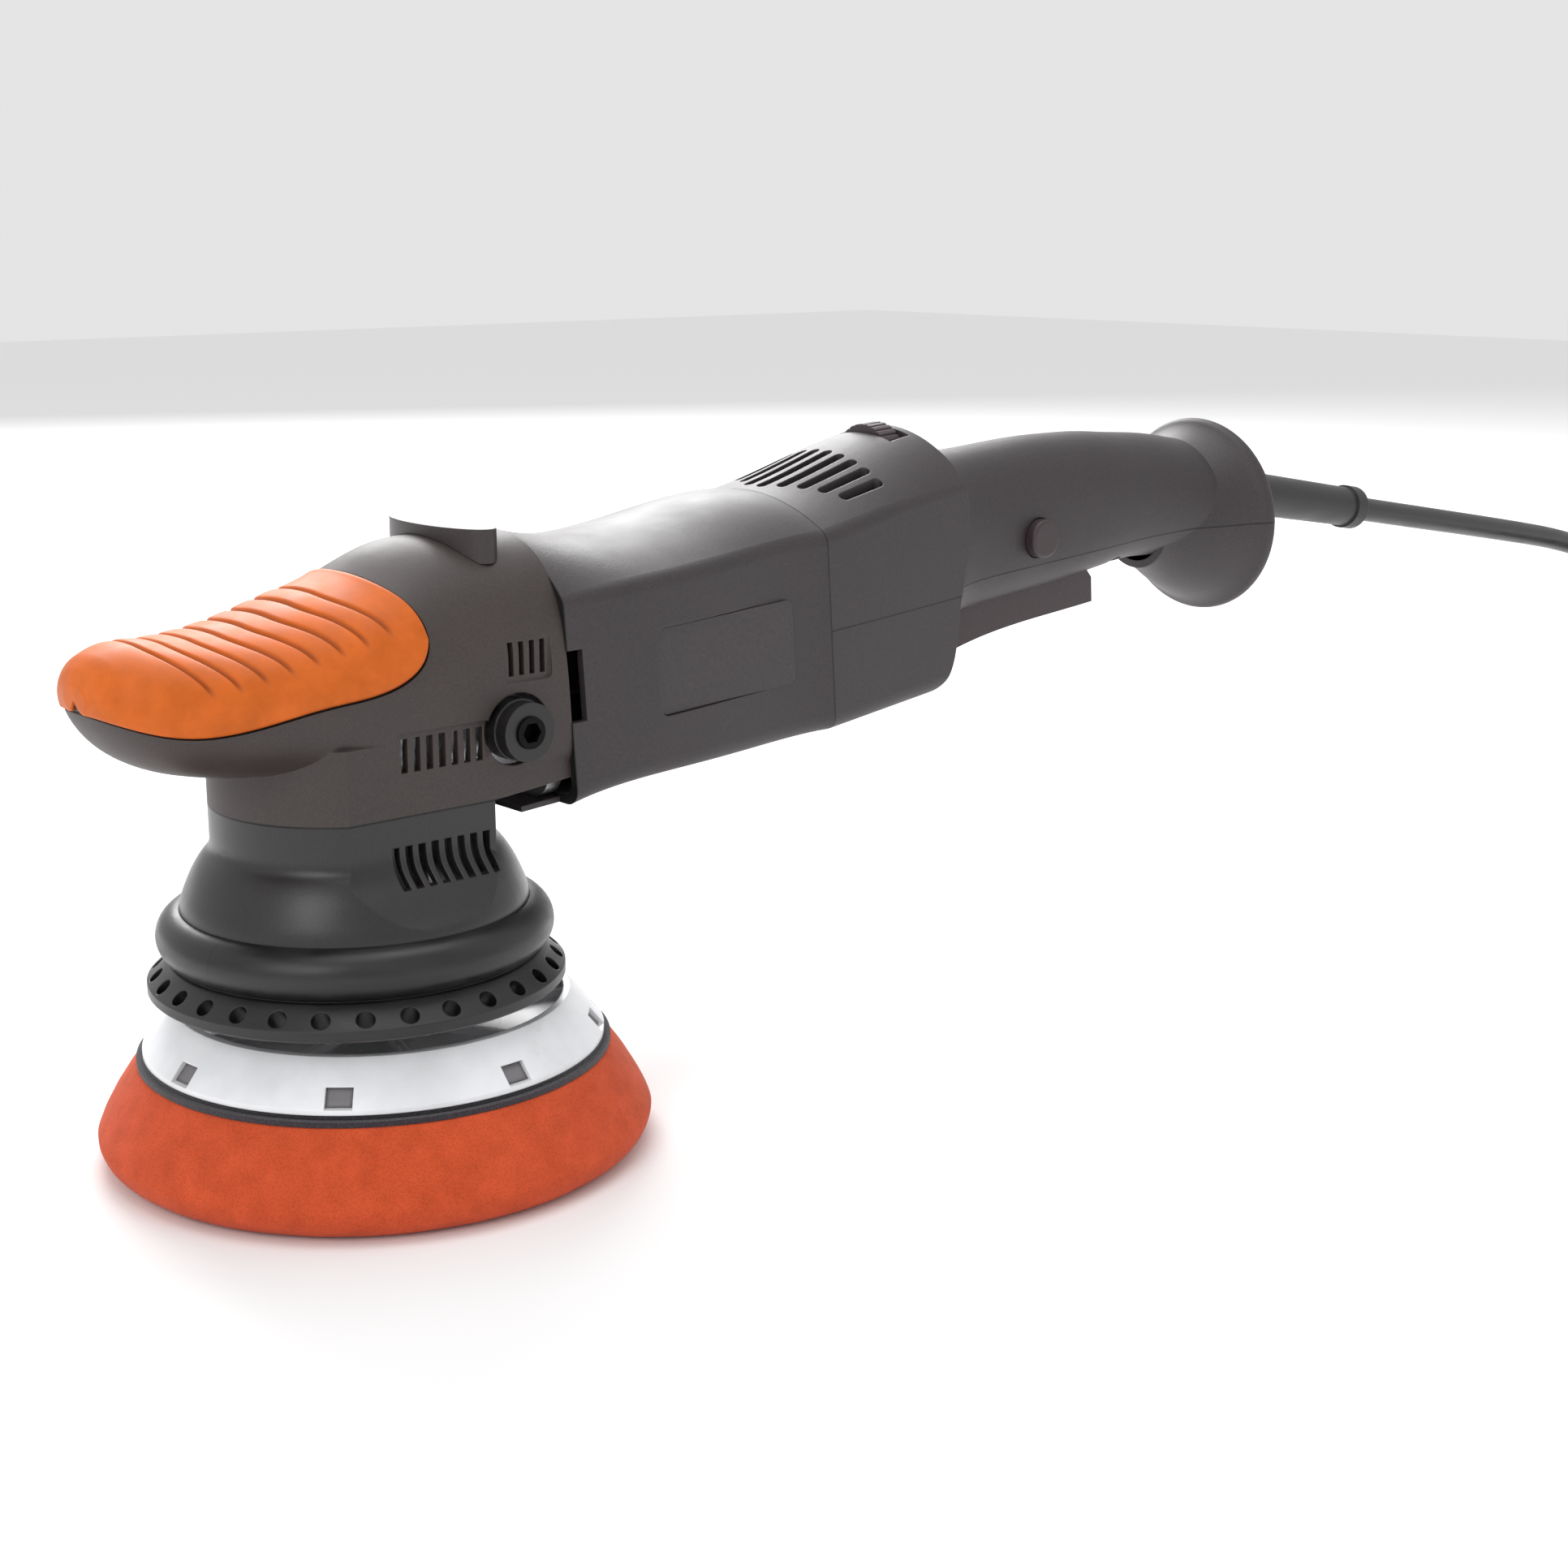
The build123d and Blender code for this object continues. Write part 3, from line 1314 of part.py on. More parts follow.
with BuildPart() as top_slots:
    for index in range(top_slot_count):
        side = (index - (top_slot_count - 1) / 2) * top_slot_pitch
        inward = abs(side) / 28.0
        front = 141.0 + 15.0 * inward
        rear = 172.0 - 1.0 * inward
        with BuildSketch(rise_plane((front + rear) / 2, top_slot_start, side)):
            SlotOverall(rear - front, top_slot_width, rotation=90)
        extrude(amount=40)


def half_space(upper):
    """Everything on one side of the rear shells' seam."""
    with BuildPart() as space:
        with BuildSketch(rise_plane(245, seam_height)):
            Rectangle(160, 300)
        extrude(amount=100 if upper else -100)
    return space.part


with BuildPart() as rear_shell_upper:
    add(tail_shell.part)
    add(screw_bosses.part)
    add(half_space(True), mode=Mode.INTERSECT)
    add(tail_cuts.part, mode=Mode.SUBTRACT)
    add(top_slots.part, mode=Mode.SUBTRACT)
    for station, side, seat_depth in screw_places:
        with BuildSketch(rise_plane(station, seam_height, side)):
            Circle(screw_bore)
        extrude(amount=screw_reach + 1, mode=Mode.SUBTRACT)
finish(rear_shell_upper, "rear_shell_upper")

pin_half_length = 11.8
pin_boss_radius = 4.2
with BuildPart() as pin_bosses:
    with BuildSketch(side_plane(-20)):
        with Locations(trigger_pivot):
            Circle(pin_boss_radius)
    extrude(amount=40)
    with BuildSketch(side_plane(-trigger_half_width - trigger_slot_gap)):
        with Locations(trigger_pivot):
            Rectangle(4 * pin_boss_radius, 4 * pin_boss_radius)
    extrude(amount=2 * (trigger_half_width + trigger_slot_gap), mode=Mode.SUBTRACT)
    add(tail_outer, mode=Mode.INTERSECT)

screw_head_radius = 3.5
screw_head_height = 2.6
with BuildPart() as rear_shell_lower:
    add(tail_shell.part)
    add(screw_bosses.part)
    add(half_space(False), mode=Mode.INTERSECT)
    add(tail_cuts.part, mode=Mode.SUBTRACT)
    add(pin_bosses.part)
    with BuildSketch(side_plane(-pin_half_length)):
        with Locations(trigger_pivot):
            Circle(pin_radius)
    extrude(amount=2 * pin_half_length, mode=Mode.SUBTRACT)
    for station, side, seat_depth in screw_places:
        with BuildSketch(rise_plane(station, -50, side)):
            Circle(screw_bore)
        extrude(amount=60, mode=Mode.SUBTRACT)
        with BuildSketch(rise_plane(station, -50, side)):
            Circle(screw_head_radius + 0.2)
        extrude(amount=50 + seam_height - seat_depth, mode=Mode.SUBTRACT)
finish(rear_shell_lower, "rear_shell_lower")

with BuildPart() as handle_screws:
    for station, side, seat_depth in screw_places:
        head_rise = seam_height - seat_depth
        with BuildSketch(rise_plane(station, head_rise, side)):
            Circle(screw_bore - seat_clearance)
        extrude(amount=seat_depth + screw_reach)
        with BuildSketch(rise_plane(station, head_rise, side)):
            Circle(screw_head_radius)
        extrude(amount=-screw_head_height)
finish(handle_screws, "handle_screws")

# ---------------------------------------------------------------- controls
knurl_count = 30
with BuildPart() as speed_dial:
    with BuildSketch(station_plane(dial_station - dial_width / 2, dial_axis_rise)):
        Circle(dial_radius)
        Circle(3 + running_clearance, mode=Mode.SUBTRACT)
        with PolarLocations(dial_radius, knurl_count):
            Circle(0.45, mode=Mode.SUBTRACT)
    extrude(amount=dial_width)
finish(speed_dial, "speed_dial")

board_rise = 17.0
with BuildPart() as speed_board:
    with BuildSketch(station_plane(155, board_rise)):
        Rectangle(34, 1.6)
    extrude(amount=34)
    with BuildSketch(station_plane(176, dial_axis_rise - 8)):
        Rectangle(14, 22)
    extrude(amount=dial_station - dial_width / 2 - 0.6 - 176)
    with BuildSketch(station_plane(dial_station - dial_width / 2 - 0.6, dial_axis_rise)):
        Circle(3)
    extrude(amount=dial_width + 0.4)
finish(speed_board, "speed_board")

with BuildPart() as trigger:
    with BuildSketch(side_plane(-trigger_half_width)):
        with BuildLine():
            Polyline(
                (281.4, -22.5),
                (281.4, -14.2),
                (276.0, -7.4),
                (267.0, -7.4),
                (262.0, -11.6),
                (208.0, -14.2),
                (205.0, -18.0),
                (205.0, -29.2),
            )
            Spline((205.0, -29.2), (220.3, -25.9), (249.0, -23.4), (281.4, -22.5))
        make_face()
    extrude(amount=2 * trigger_half_width)
    with BuildSketch(side_plane(-trigger_half_width)):
        with Locations(trigger_pivot):
            Circle(pin_radius + running_clearance)
    extrude(amount=2 * trigger_half_width, mode=Mode.SUBTRACT)
    with BuildSketch(side_plane(-4.6)):
        with Locations((trigger_pivot[0], trigger_pivot[1] + 1)):
            Rectangle(13, 11)
    extrude(amount=9.2, mode=Mode.SUBTRACT)
finish(trigger, "trigger")

with BuildPart() as trigger_pin:
    with BuildSketch(side_plane(-pin_half_length)):
        with Locations(trigger_pivot):
            Circle(pin_radius - seat_clearance)
    extrude(amount=2 * pin_half_length)
finish(trigger_pin, "trigger_pin")

with BuildPart() as trigger_spring:
    with BuildSketch(side_plane(-3.6)):
        with Locations(trigger_pivot):
            Circle(pin_radius + 1.4)
            Circle(pin_radius + 0.2, mode=Mode.SUBTRACT)
    extrude(amount=7.2)
finish(trigger_spring, "trigger_spring")

with BuildPart() as switch_module:
    with BuildSketch(side_plane(-11)):
        with Locations((234, 8.5)):
            RectangleRounded(44, 20, 1.5)
    extrude(amount=22)
finish(switch_module, "switch_module")

button_face = 21.6
with BuildPart() as lock_button:
    with BuildSketch(side_plane(14.5)):
        with Locations((lock_button_station, lock_button_rise)):
            Circle(lock_button_radius)
    extrude(amount=button_face + 1.2 - 14.5)
    fillet(lock_button.edges().filter_by(GeomType.CIRCLE).sort_by(Axis.Y)[0], 1.2)
finish(lock_button, "lock_button")

with BuildPart() as cord_clamp:
    with BuildSketch(station_plane(297.2, 9)):
        RectangleRounded(24, 12, 2)
        Circle(cord_radius, mode=Mode.SUBTRACT)
    extrude(amount=6)
finish(cord_clamp, "cord_clamp")

# ---------------------------------------------------------------- cord
with BuildPart() as strain_relief:
    add(relief_cone(-seat_clearance, relief_start, relief_neck))
    with BuildSketch(relief_frame.offset(relief_neck)):
        Circle(relief_collar_radius)
    extrude(amount=relief_end - relief_neck)
    fillet(strain_relief.edges().filter_by(GeomType.CIRCLE).sort_by(Axis.X)[-1], 0.8)
    with BuildSketch(relief_frame.offset(relief_start)):
        Circle(cord_radius)
    extrude(amount=relief_end - relief_start, mode=Mode.SUBTRACT)
finish(strain_relief, "strain_relief")

exit_point = relief_frame.from_local_coords(Vector(0, 0, relief_end))
# The last run lies along the tangent of the coil's outer turn, in its top layer.
coil_outer_turn = coil_mean_radius + (coil_columns - 1) * cord_radius
coil_entry_angle = 84.0
coil_entry_height = (2 * coil_layers - 1) * cord_radius
cord_route = (
    (exit_point.X, 0.0, exit_point.Z),
    (494.0, 0.9, 129.9),
    (548.0, 2.8, 121.0),
    (600.0, 5.6, 112.0),
    (646.0, 9.2, 100.0),
    (682.0, 13.2, 81.0),
    (712.0, 17.0, 58.0),
    (742.0, 20.0, 39.5),
    (
        coil_centre[0] + coil_outer_turn * math.cos(math.radians(coil_entry_angle)),
        coil_centre[1] + coil_outer_turn * math.sin(math.radians(coil_entry_angle)),
        coil_entry_height,
    ),
)


def turn_radii(route):
    """For each inner point, 0.45 of its shorter run over the tangent of half the turn."""
    radii = []
    for before, here, after in zip(route, route[1:], route[2:]):
        arriving = Vector(*here) - Vector(*before)
        leaving = Vector(*after) - Vector(*here)
        half_turn = math.radians(arriving.get_angle(leaving)) / 2
        radii.append(0.45 * min(arriving.length, leaving.length) / math.tan(half_turn))
    return radii


route_radii = turn_radii(cord_route)
print("cord radii", [round(radius, 1) for radius in route_radii])
with BuildPart() as cord_tube:
    with BuildLine():
        cord_path = FilletPolyline(*cord_route, radius=route_radii)
    with BuildSketch(Plane(origin=cord_path @ 0, z_dir=cord_path % 0)):
        Circle(cord_radius)
    sweep()
finish(cord_tube, "cord_tube")
tube_length = cord_tube.part.volume / (math.pi * cord_radius**2)
print("cord tube", round(cord_path.length, 1), round(tube_length, 1))

coil_half_width = coil_columns * cord_radius
coil_height = coil_layers * 2 * cord_radius
coil_origin = (coil_centre[0], coil_centre[1], 0)
with BuildPart() as cord_coil:
    with BuildSketch(Plane(origin=coil_origin, x_dir=(1, 0, 0), z_dir=(0, -1, 0))):
        with Locations((coil_mean_radius, coil_height / 2)):
            RectangleRounded(2 * coil_half_width, coil_height, cord_radius)
    revolve(axis=Axis(coil_origin, (0, 0, 1)))
finish(cord_coil, "cord_coil")

tie_width = 12.0
tie_plane = Plane(
    origin=(coil_centre[0], coil_centre[1] - coil_mean_radius, coil_height / 2),
    x_dir=(0, 1, 0),
    z_dir=(1, 0, 0),
)
with BuildPart() as cord_tie:
    with BuildSketch(tie_plane.offset(-tie_width / 2)):
        with Locations((0, tie_thickness / 2)):
            RectangleRounded(
                2 * (coil_half_width + tie_thickness), coil_height + tie_thickness, cord_radius
            )
        RectangleRounded(2 * coil_half_width, coil_height - 0.02, cord_radius, mode=Mode.SUBTRACT)
    extrude(amount=tie_width)
finish(cord_tie, "cord_tie")

# Two-pin plug with round pins, lying flat across the coil.
plug_half_width = 17.5
plug_half_height = 12.0
plug_length = 34.0
plug_axis_height = coil_height + plug_half_height
plug_angle = 0.0  # where the plug lies on the coil, degrees about +Z
plug_shift = 8.0  # how far the plug's back stands past that place, along the plug
plug_around = (math.cos(math.radians(plug_angle)), math.sin(math.radians(plug_angle)), 0)
plug_direction = (plug_around[1], -plug_around[0], 0)
plug_back = (
    coil_centre[0] + coil_mean_radius * plug_around[0] + plug_shift * plug_direction[0],
    coil_centre[1] + coil_mean_radius * plug_around[1] + plug_shift * plug_direction[1],
    plug_axis_height,
)
plug_frame = Plane(origin=plug_back, x_dir=plug_around, z_dir=plug_direction)
plug_neck_length = 20.0
pin_pitch = 19.0
plug_pin_radius = 2.4
plug_pin_length = 19.0
pin_root_radius = 2.0
pin_root_length = 9.0
with BuildPart() as plug_body:
    with BuildSketch(plug_frame):
        RectangleRounded(2 * plug_half_width - 8, 2 * plug_half_height - 5, 7)
    with BuildSketch(plug_frame.offset(0.4 * plug_length)):
        RectangleRounded(2 * plug_half_width, 2 * plug_half_height, 8)
    with BuildSketch(plug_frame.offset(plug_length)):
        RectangleRounded(2 * plug_half_width, 2 * plug_half_height, 8)
    loft(ruled=True)
    with BuildSketch(plug_frame.offset(-plug_neck_length)):
        Circle(cord_radius + 1.2)
    with BuildSketch(plug_frame):
        Circle(cord_radius + 3.2)
    loft()
    with BuildSketch(plug_frame.offset(plug_length)):
        with Locations((-pin_pitch / 2, 0), (pin_pitch / 2, 0)):
            Circle(pin_root_radius + seat_clearance)
    extrude(amount=-pin_root_length, mode=Mode.SUBTRACT)
finish(plug_body, "plug_body")

with BuildPart() as plug_pins:
    with BuildSketch(plug_frame.offset(plug_length - pin_root_length)):
        with Locations((-pin_pitch / 2, 0), (pin_pitch / 2, 0)):
            Circle(pin_root_radius)
    extrude(amount=pin_root_length)
    with BuildSketch(plug_frame.offset(plug_length)):
        with Locations((-pin_pitch / 2, 0), (pin_pitch / 2, 0)):
            Circle(plug_pin_radius)
    extrude(amount=plug_pin_length)
finish(plug_pins, "plug_pins")
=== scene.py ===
"""Looks of a corded long-throw polisher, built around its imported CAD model.

Everything is in metres in the row frame: the origin is on the spindle axis at the pad's working face, +X
points from the head to the handle and +Z up. The motor axis leans up to the rear.
"""

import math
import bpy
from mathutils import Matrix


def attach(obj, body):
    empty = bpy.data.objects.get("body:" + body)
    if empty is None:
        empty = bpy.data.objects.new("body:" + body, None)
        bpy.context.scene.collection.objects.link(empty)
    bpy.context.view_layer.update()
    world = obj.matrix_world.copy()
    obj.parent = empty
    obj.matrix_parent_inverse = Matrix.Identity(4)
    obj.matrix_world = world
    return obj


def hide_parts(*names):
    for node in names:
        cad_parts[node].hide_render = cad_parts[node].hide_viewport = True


bl_info = {
    "name": "Long-throw polisher",
    "version": (1, 0, 0),
    "blender": (4, 5, 0),
    "location": "View3D > Sidebar > Polisher",
    "description": "Finishes, soft pieces, cord and studio of a corded long-throw polisher",
    "category": "Object",
}

import bpy
import numpy as np
from mathutils import Matrix, Vector

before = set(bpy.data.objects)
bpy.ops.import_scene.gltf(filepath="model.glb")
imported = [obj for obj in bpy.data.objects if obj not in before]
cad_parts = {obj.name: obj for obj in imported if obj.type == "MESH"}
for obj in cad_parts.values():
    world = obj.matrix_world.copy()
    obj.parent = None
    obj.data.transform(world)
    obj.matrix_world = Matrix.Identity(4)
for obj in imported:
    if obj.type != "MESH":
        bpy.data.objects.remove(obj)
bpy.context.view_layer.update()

MM = 0.001

# ---------------------------------------------------------------- sizes shared with the CAD model, mm
motor_tilt = math.radians(3.74)
axis_height = 125.0
motor_direction = np.array([math.cos(motor_tilt), 0.0, math.sin(motor_tilt)])
motor_up = np.array([-math.sin(motor_tilt), 0.0, math.cos(motor_tilt)])
orbit_offset = 7.5
orbit_angle = math.radians(27.4)
orbit_centre = (orbit_offset * math.cos(orbit_angle), orbit_offset * math.sin(orbit_angle))
head_split = 47.2
rear_split = 139.0
seam_rise = -3.5
parting_height = 98.6
cord_radius = 4.4
cord_route = (
    (440.19, 0.0, 138.78),
    (494.0, 0.9, 129.9),
    (548.0, 2.8, 121.0),
    (600.0, 5.6, 112.0),
    (646.0, 9.2, 100.0),
    (682.0, 13.2, 81.0),
    (712.0, 17.0, 58.0),
    (742.0, 20.0, 39.5),
)
coil_centre = (770.0, -48.0)
coil_radius = 56.0
coil_layers = 4
coil_entry = 84.0  # degrees
seam_black = (0.004, 0.004, 0.004, 1.0)


# ---------------------------------------------------------------- small helpers
def linear(hex_colour):
    """A colour given as sRGB hex, turned to linear red, green, blue and alpha."""
    channels = [int(hex_colour[i : i + 2], 16) / 255 for i in (1, 3, 5)]
    return tuple(c / 12.92 if c <= 0.04045 else ((c + 0.055) / 1.055) ** 2.4 for c in channels) + (1.0,)


def smooth(t):
    """Zero below 0, one above 1, and 3t^2 - 2t^3 between."""
    t = np.clip(t, 0, 1)
    return t * t * (3 - 2 * t)


def add(material, kind, inputs=None, **settings):
    """Adds a node, sets its settings, and sets or links its inputs by name or number."""
    tree = material.node_tree
    node = tree.nodes.new(kind)
    for name, value in settings.items():
        setattr(node, name, value)
    for key, value in (inputs or {}).items():
        if isinstance(value, bpy.types.NodeSocket):
            tree.links.new(value, node.inputs[key])
        else:
            node.inputs[key].default_value = value
    return node


def new_material(name, **sockets):
    """A material with a Principled shader whose even values sit on its own sockets."""
    material = bpy.data.materials.new(name)
    material.use_nodes = True
    material.node_tree.nodes.clear()
    shader = add(material, "ShaderNodeBsdfPrincipled", sockets)
    add(material, "ShaderNodeOutputMaterial", {"Surface": shader.outputs[0]})
    return material, shader


def connect(material, shader, socket, output):
    """Links an output to one of the shader's sockets."""
    material.node_tree.links.new(output, shader.inputs[socket])


def mesh_piece(name, points, faces, material):
    """A mesh object from an array of points in millimetres and a list of faces."""
    mesh = bpy.data.meshes.new(name)
    mesh.from_pydata((np.asarray(points) * MM).tolist(), [], faces)
    mesh.polygons.foreach_set("use_smooth", [True] * len(mesh.polygons))
    mesh.materials.append(material)
    mesh.update()
    piece = bpy.data.objects.new(name, mesh)
    bpy.context.scene.collection.objects.link(piece)
    return piece


def grid_faces(rows, columns, closed):
    """Quads of a grid of rows by columns of points; closed joins the last column to the first."""
    reach = columns if closed else columns - 1
    row, column = np.meshgrid(np.arange(rows - 1), np.arange(reach), indexing="ij")
    after = (column + 1) % columns
    near, far = row * columns, (row + 1) * columns
    quads = np.stack([near + column, near + after, far + after, far + column], axis=-1)
    return quads.reshape(-1, 4).tolist()


def settings():
    """What the user has set in the panel."""
    return bpy.context.scene.polisher


# ---------------------------------------------------------------- finishes
def moulded(name, colour, roughness, grain_mm, grain_depth, seams=(), edge=0.6, fleck=0.2, gleam=0.5):
    """Injection-moulded plastic: a fine spark-eroded grain, faint flow mottling and softly broken edges.

    The grain is drawn coarser than the real 0.1 mm one so that it shows. Each seam is (direction, distance):
    a dark parting line where the point's distance along the direction is that many millimetres.
    """
    material, shader = new_material(name, Roughness=roughness, IOR=1.53, **{"Specular IOR Level": gleam})
    where = add(material, "ShaderNodeTexCoord").outputs["Object"]
    mottle = add(
        material,
        "ShaderNodeTexNoise",
        {"Vector": where, "Scale": 1 / (26 * MM), "Detail": 3.0, "Roughness": 0.55},
    ).outputs["Fac"]
    grain = add(
        material,
        "ShaderNodeTexNoise",
        {"Vector": where, "Scale": 1 / (grain_mm * MM), "Detail": 2.0, "Roughness": 0.6},
    ).outputs["Fac"]
    bevel = add(material, "ShaderNodeBevel", {"Radius": edge * MM}, samples=6)
    true_normal = add(material, "ShaderNodeNewGeometry").outputs["Normal"]
    flatness = add(
        material, "ShaderNodeVectorMath", {0: bevel.outputs[0], 1: true_normal}, operation="DOT_PRODUCT"
    ).outputs["Value"]
    worn = add(
        material, "ShaderNodeMapRange", {"Value": flatness, 1: 0.995, 2: 0.86, 3: 0.0, 4: 0.55}
    ).outputs[0]
    shade = add(material, "ShaderNodeMapRange", {"Value": mottle, 1: 0.3, 2: 0.7, 3: 0.0, 4: 1.0}).outputs[0]
    dark = tuple(c * 0.90 for c in colour[:3]) + (1.0,)
    light = tuple(min(1.0, c * 1.12) for c in colour[:3]) + (1.0,)
    rubbed = tuple(min(1.0, c * 1.9 + 0.015) for c in colour[:3]) + (1.0,)
    base = add(
        material, "ShaderNodeMix", {"Factor": shade, "A": dark, "B": light}, data_type="RGBA"
    ).outputs["Result"]
    speck = add(
        material, "ShaderNodeMapRange", {"Value": grain, 1: 0.35, 2: 0.75, 3: 1 - fleck, 4: 1 + fleck}
    ).outputs[0]
    base = add(
        material, "ShaderNodeVectorMath", {0: base, "Scale": speck}, operation="SCALE"
    ).outputs["Vector"]
    base = add(
        material, "ShaderNodeMix", {"Factor": worn, "A": base, "B": rubbed}, data_type="RGBA"
    ).outputs["Result"]
    for direction, distance in seams:
        along = add(
            material,
            "ShaderNodeVectorMath",
            {0: where, 1: tuple(float(v) for v in direction)},
            operation="DOT_PRODUCT",
        ).outputs["Value"]
        away = add(
            material, "ShaderNodeMath", {0: along, 1: -distance * MM}, operation="ADD"
        ).outputs[0]
        away = add(material, "ShaderNodeMath", {0: away}, operation="ABSOLUTE").outputs[0]
        line = add(
            material, "ShaderNodeMapRange", {"Value": away, 1: 0.18 * MM, 2: 0.42 * MM, 3: 1.0, 4: 0.0}
        ).outputs[0]
        base = add(
            material, "ShaderNodeMix", {"Factor": line, "A": base, "B": seam_black}, data_type="RGBA"
        ).outputs["Result"]
    gloss = add(
        material,
        "ShaderNodeMapRange",
        {"Value": mottle, 1: 0.3, 2: 0.7, 3: roughness - 0.05, 4: roughness + 0.06},
    ).outputs[0]
    bump = add(
        material,
        "ShaderNodeBump",
        {"Strength": 1.0, "Distance": grain_depth * MM, "Height": grain, "Normal": bevel.outputs[0]},
    ).outputs[0]
    connect(material, shader, "Base Color", base)
    connect(material, shader, "Roughness", gloss)
    connect(material, shader, "Normal", bump)
    return material


def overmould(name, colour):
    """Soft thermoplastic overmould: matt, faintly marbled, with painted shade darkening its grooves."""
    material, shader = new_material(name, Roughness=0.5, IOR=1.5, **{"Specular IOR Level": 0.22})
    where = add(material, "ShaderNodeTexCoord").outputs["Object"]
    groove = add(material, "ShaderNodeAttribute", attribute_name="groove").outputs["Fac"]
    cloud = add(
        material,
        "ShaderNodeTexNoise",
        {"Vector": where, "Scale": 1 / (9 * MM), "Detail": 4.0, "Roughness": 0.6},
    ).outputs["Fac"]
    skin = add(
        material, "ShaderNodeTexNoise", {"Vector": where, "Scale": 1 / (0.5 * MM), "Detail": 2.0}
    ).outputs["Fac"]
    share = add(material, "ShaderNodeMapRange", {"Value": cloud, 1: 0.3, 2: 0.7}).outputs[0]
    deep = tuple(c * 0.86 for c in colour[:3]) + (1.0,)
    pale = tuple(min(1.0, c * 1.10 + 0.006) for c in colour[:3]) + (1.0,)
    # painted shade: the colour is darkened along the grooves in place of the shade that falls in each crease
    painted_groove_shade = tuple(c * 0.52 for c in colour[:3]) + (1.0,)
    base = add(
        material, "ShaderNodeMix", {"Factor": share, "A": deep, "B": pale}, data_type="RGBA"
    ).outputs["Result"]
    base = add(
        material, "ShaderNodeMix", {"Factor": groove, "A": base, "B": painted_groove_shade}, data_type="RGBA"
    ).outputs["Result"]
    gloss = add(
        material, "ShaderNodeMapRange", {"Value": cloud, 1: 0.3, 2: 0.7, 3: 0.44, 4: 0.56}
    ).outputs[0]
    bump = add(
        material, "ShaderNodeBump", {"Strength": 0.6, "Distance": 0.04 * MM, "Height": skin}
    ).outputs[0]
    connect(material, shader, "Base Color", base)
    connect(material, shader, "Roughness", gloss)
    connect(material, shader, "Normal", bump)
    return material


def moulded_rubber(name, colour, roughness, seam_angle=None):
    """Moulded black rubber: smooth, with a soft sheen, faint bloom and flow streaks round the axis.

    seam_angle, if given, is the direction from the axis in which the mould's parting line shows.
    """
    material, shader = new_material(name, Roughness=roughness, IOR=1.52)
    where = add(material, "ShaderNodeTexCoord").outputs["Object"]
    stretched = add(
        material, "ShaderNodeMapping", {"Vector": where, "Scale": (1.0, 1.0, 5.0)}
    ).outputs[0]
    streak = add(
        material, "ShaderNodeTexNoise", {"Vector": stretched, "Scale": 1 / (16 * MM), "Detail": 4.0}
    ).outputs["Fac"]
    skin = add(
        material, "ShaderNodeTexNoise", {"Vector": where, "Scale": 1 / (0.9 * MM), "Detail": 3.0}
    ).outputs["Fac"]
    bevel = add(material, "ShaderNodeBevel", {"Radius": 0.5 * MM}, samples=6).outputs[0]
    share = add(material, "ShaderNodeMapRange", {"Value": streak, 1: 0.35, 2: 0.75}).outputs[0]
    bloom = tuple(min(1.0, c * 1.7 + 0.004) for c in colour[:3]) + (1.0,)
    base = add(
        material, "ShaderNodeMix", {"Factor": share, "A": colour, "B": bloom}, data_type="RGBA"
    ).outputs["Result"]
    if seam_angle is not None:
        mould_line = (0.001, 0.001, 0.001, 1.0)
        across = (-math.sin(seam_angle), math.cos(seam_angle), 0.0)
        ahead = (math.cos(seam_angle), math.sin(seam_angle), 0.0)
        side = add(
            material, "ShaderNodeVectorMath", {0: where, 1: across}, operation="DOT_PRODUCT"
        ).outputs["Value"]
        side = add(material, "ShaderNodeMath", {0: side}, operation="ABSOLUTE").outputs[0]
        line = add(
            material, "ShaderNodeMapRange", {"Value": side, 1: 0.12 * MM, 2: 0.3 * MM, 3: 1.0, 4: 0.0}
        ).outputs[0]
        front = add(
            material, "ShaderNodeVectorMath", {0: where, 1: ahead}, operation="DOT_PRODUCT"
        ).outputs["Value"]
        front = add(material, "ShaderNodeMath", {0: front, 1: 0.0}, operation="GREATER_THAN").outputs[0]
        line = add(material, "ShaderNodeMath", {0: line, 1: front}, operation="MULTIPLY").outputs[0]
        base = add(
            material, "ShaderNodeMix", {"Factor": line, "A": base, "B": mould_line}, data_type="RGBA"
        ).outputs["Result"]
    gloss = add(
        material,
        "ShaderNodeMapRange",
        {"Value": streak, 1: 0.3, 2: 0.7, 3: roughness - 0.06, 4: roughness + 0.09},
    ).outputs[0]
    bump = add(
        material,
        "ShaderNodeBump",
        {"Strength": 0.5, "Distance": 0.05 * MM, "Height": skin, "Normal": bevel},
    ).outputs[0]
    connect(material, shader, "Base Color", base)
    connect(material, shader, "Roughness", gloss)
    connect(material, shader, "Normal", bump)
    return material


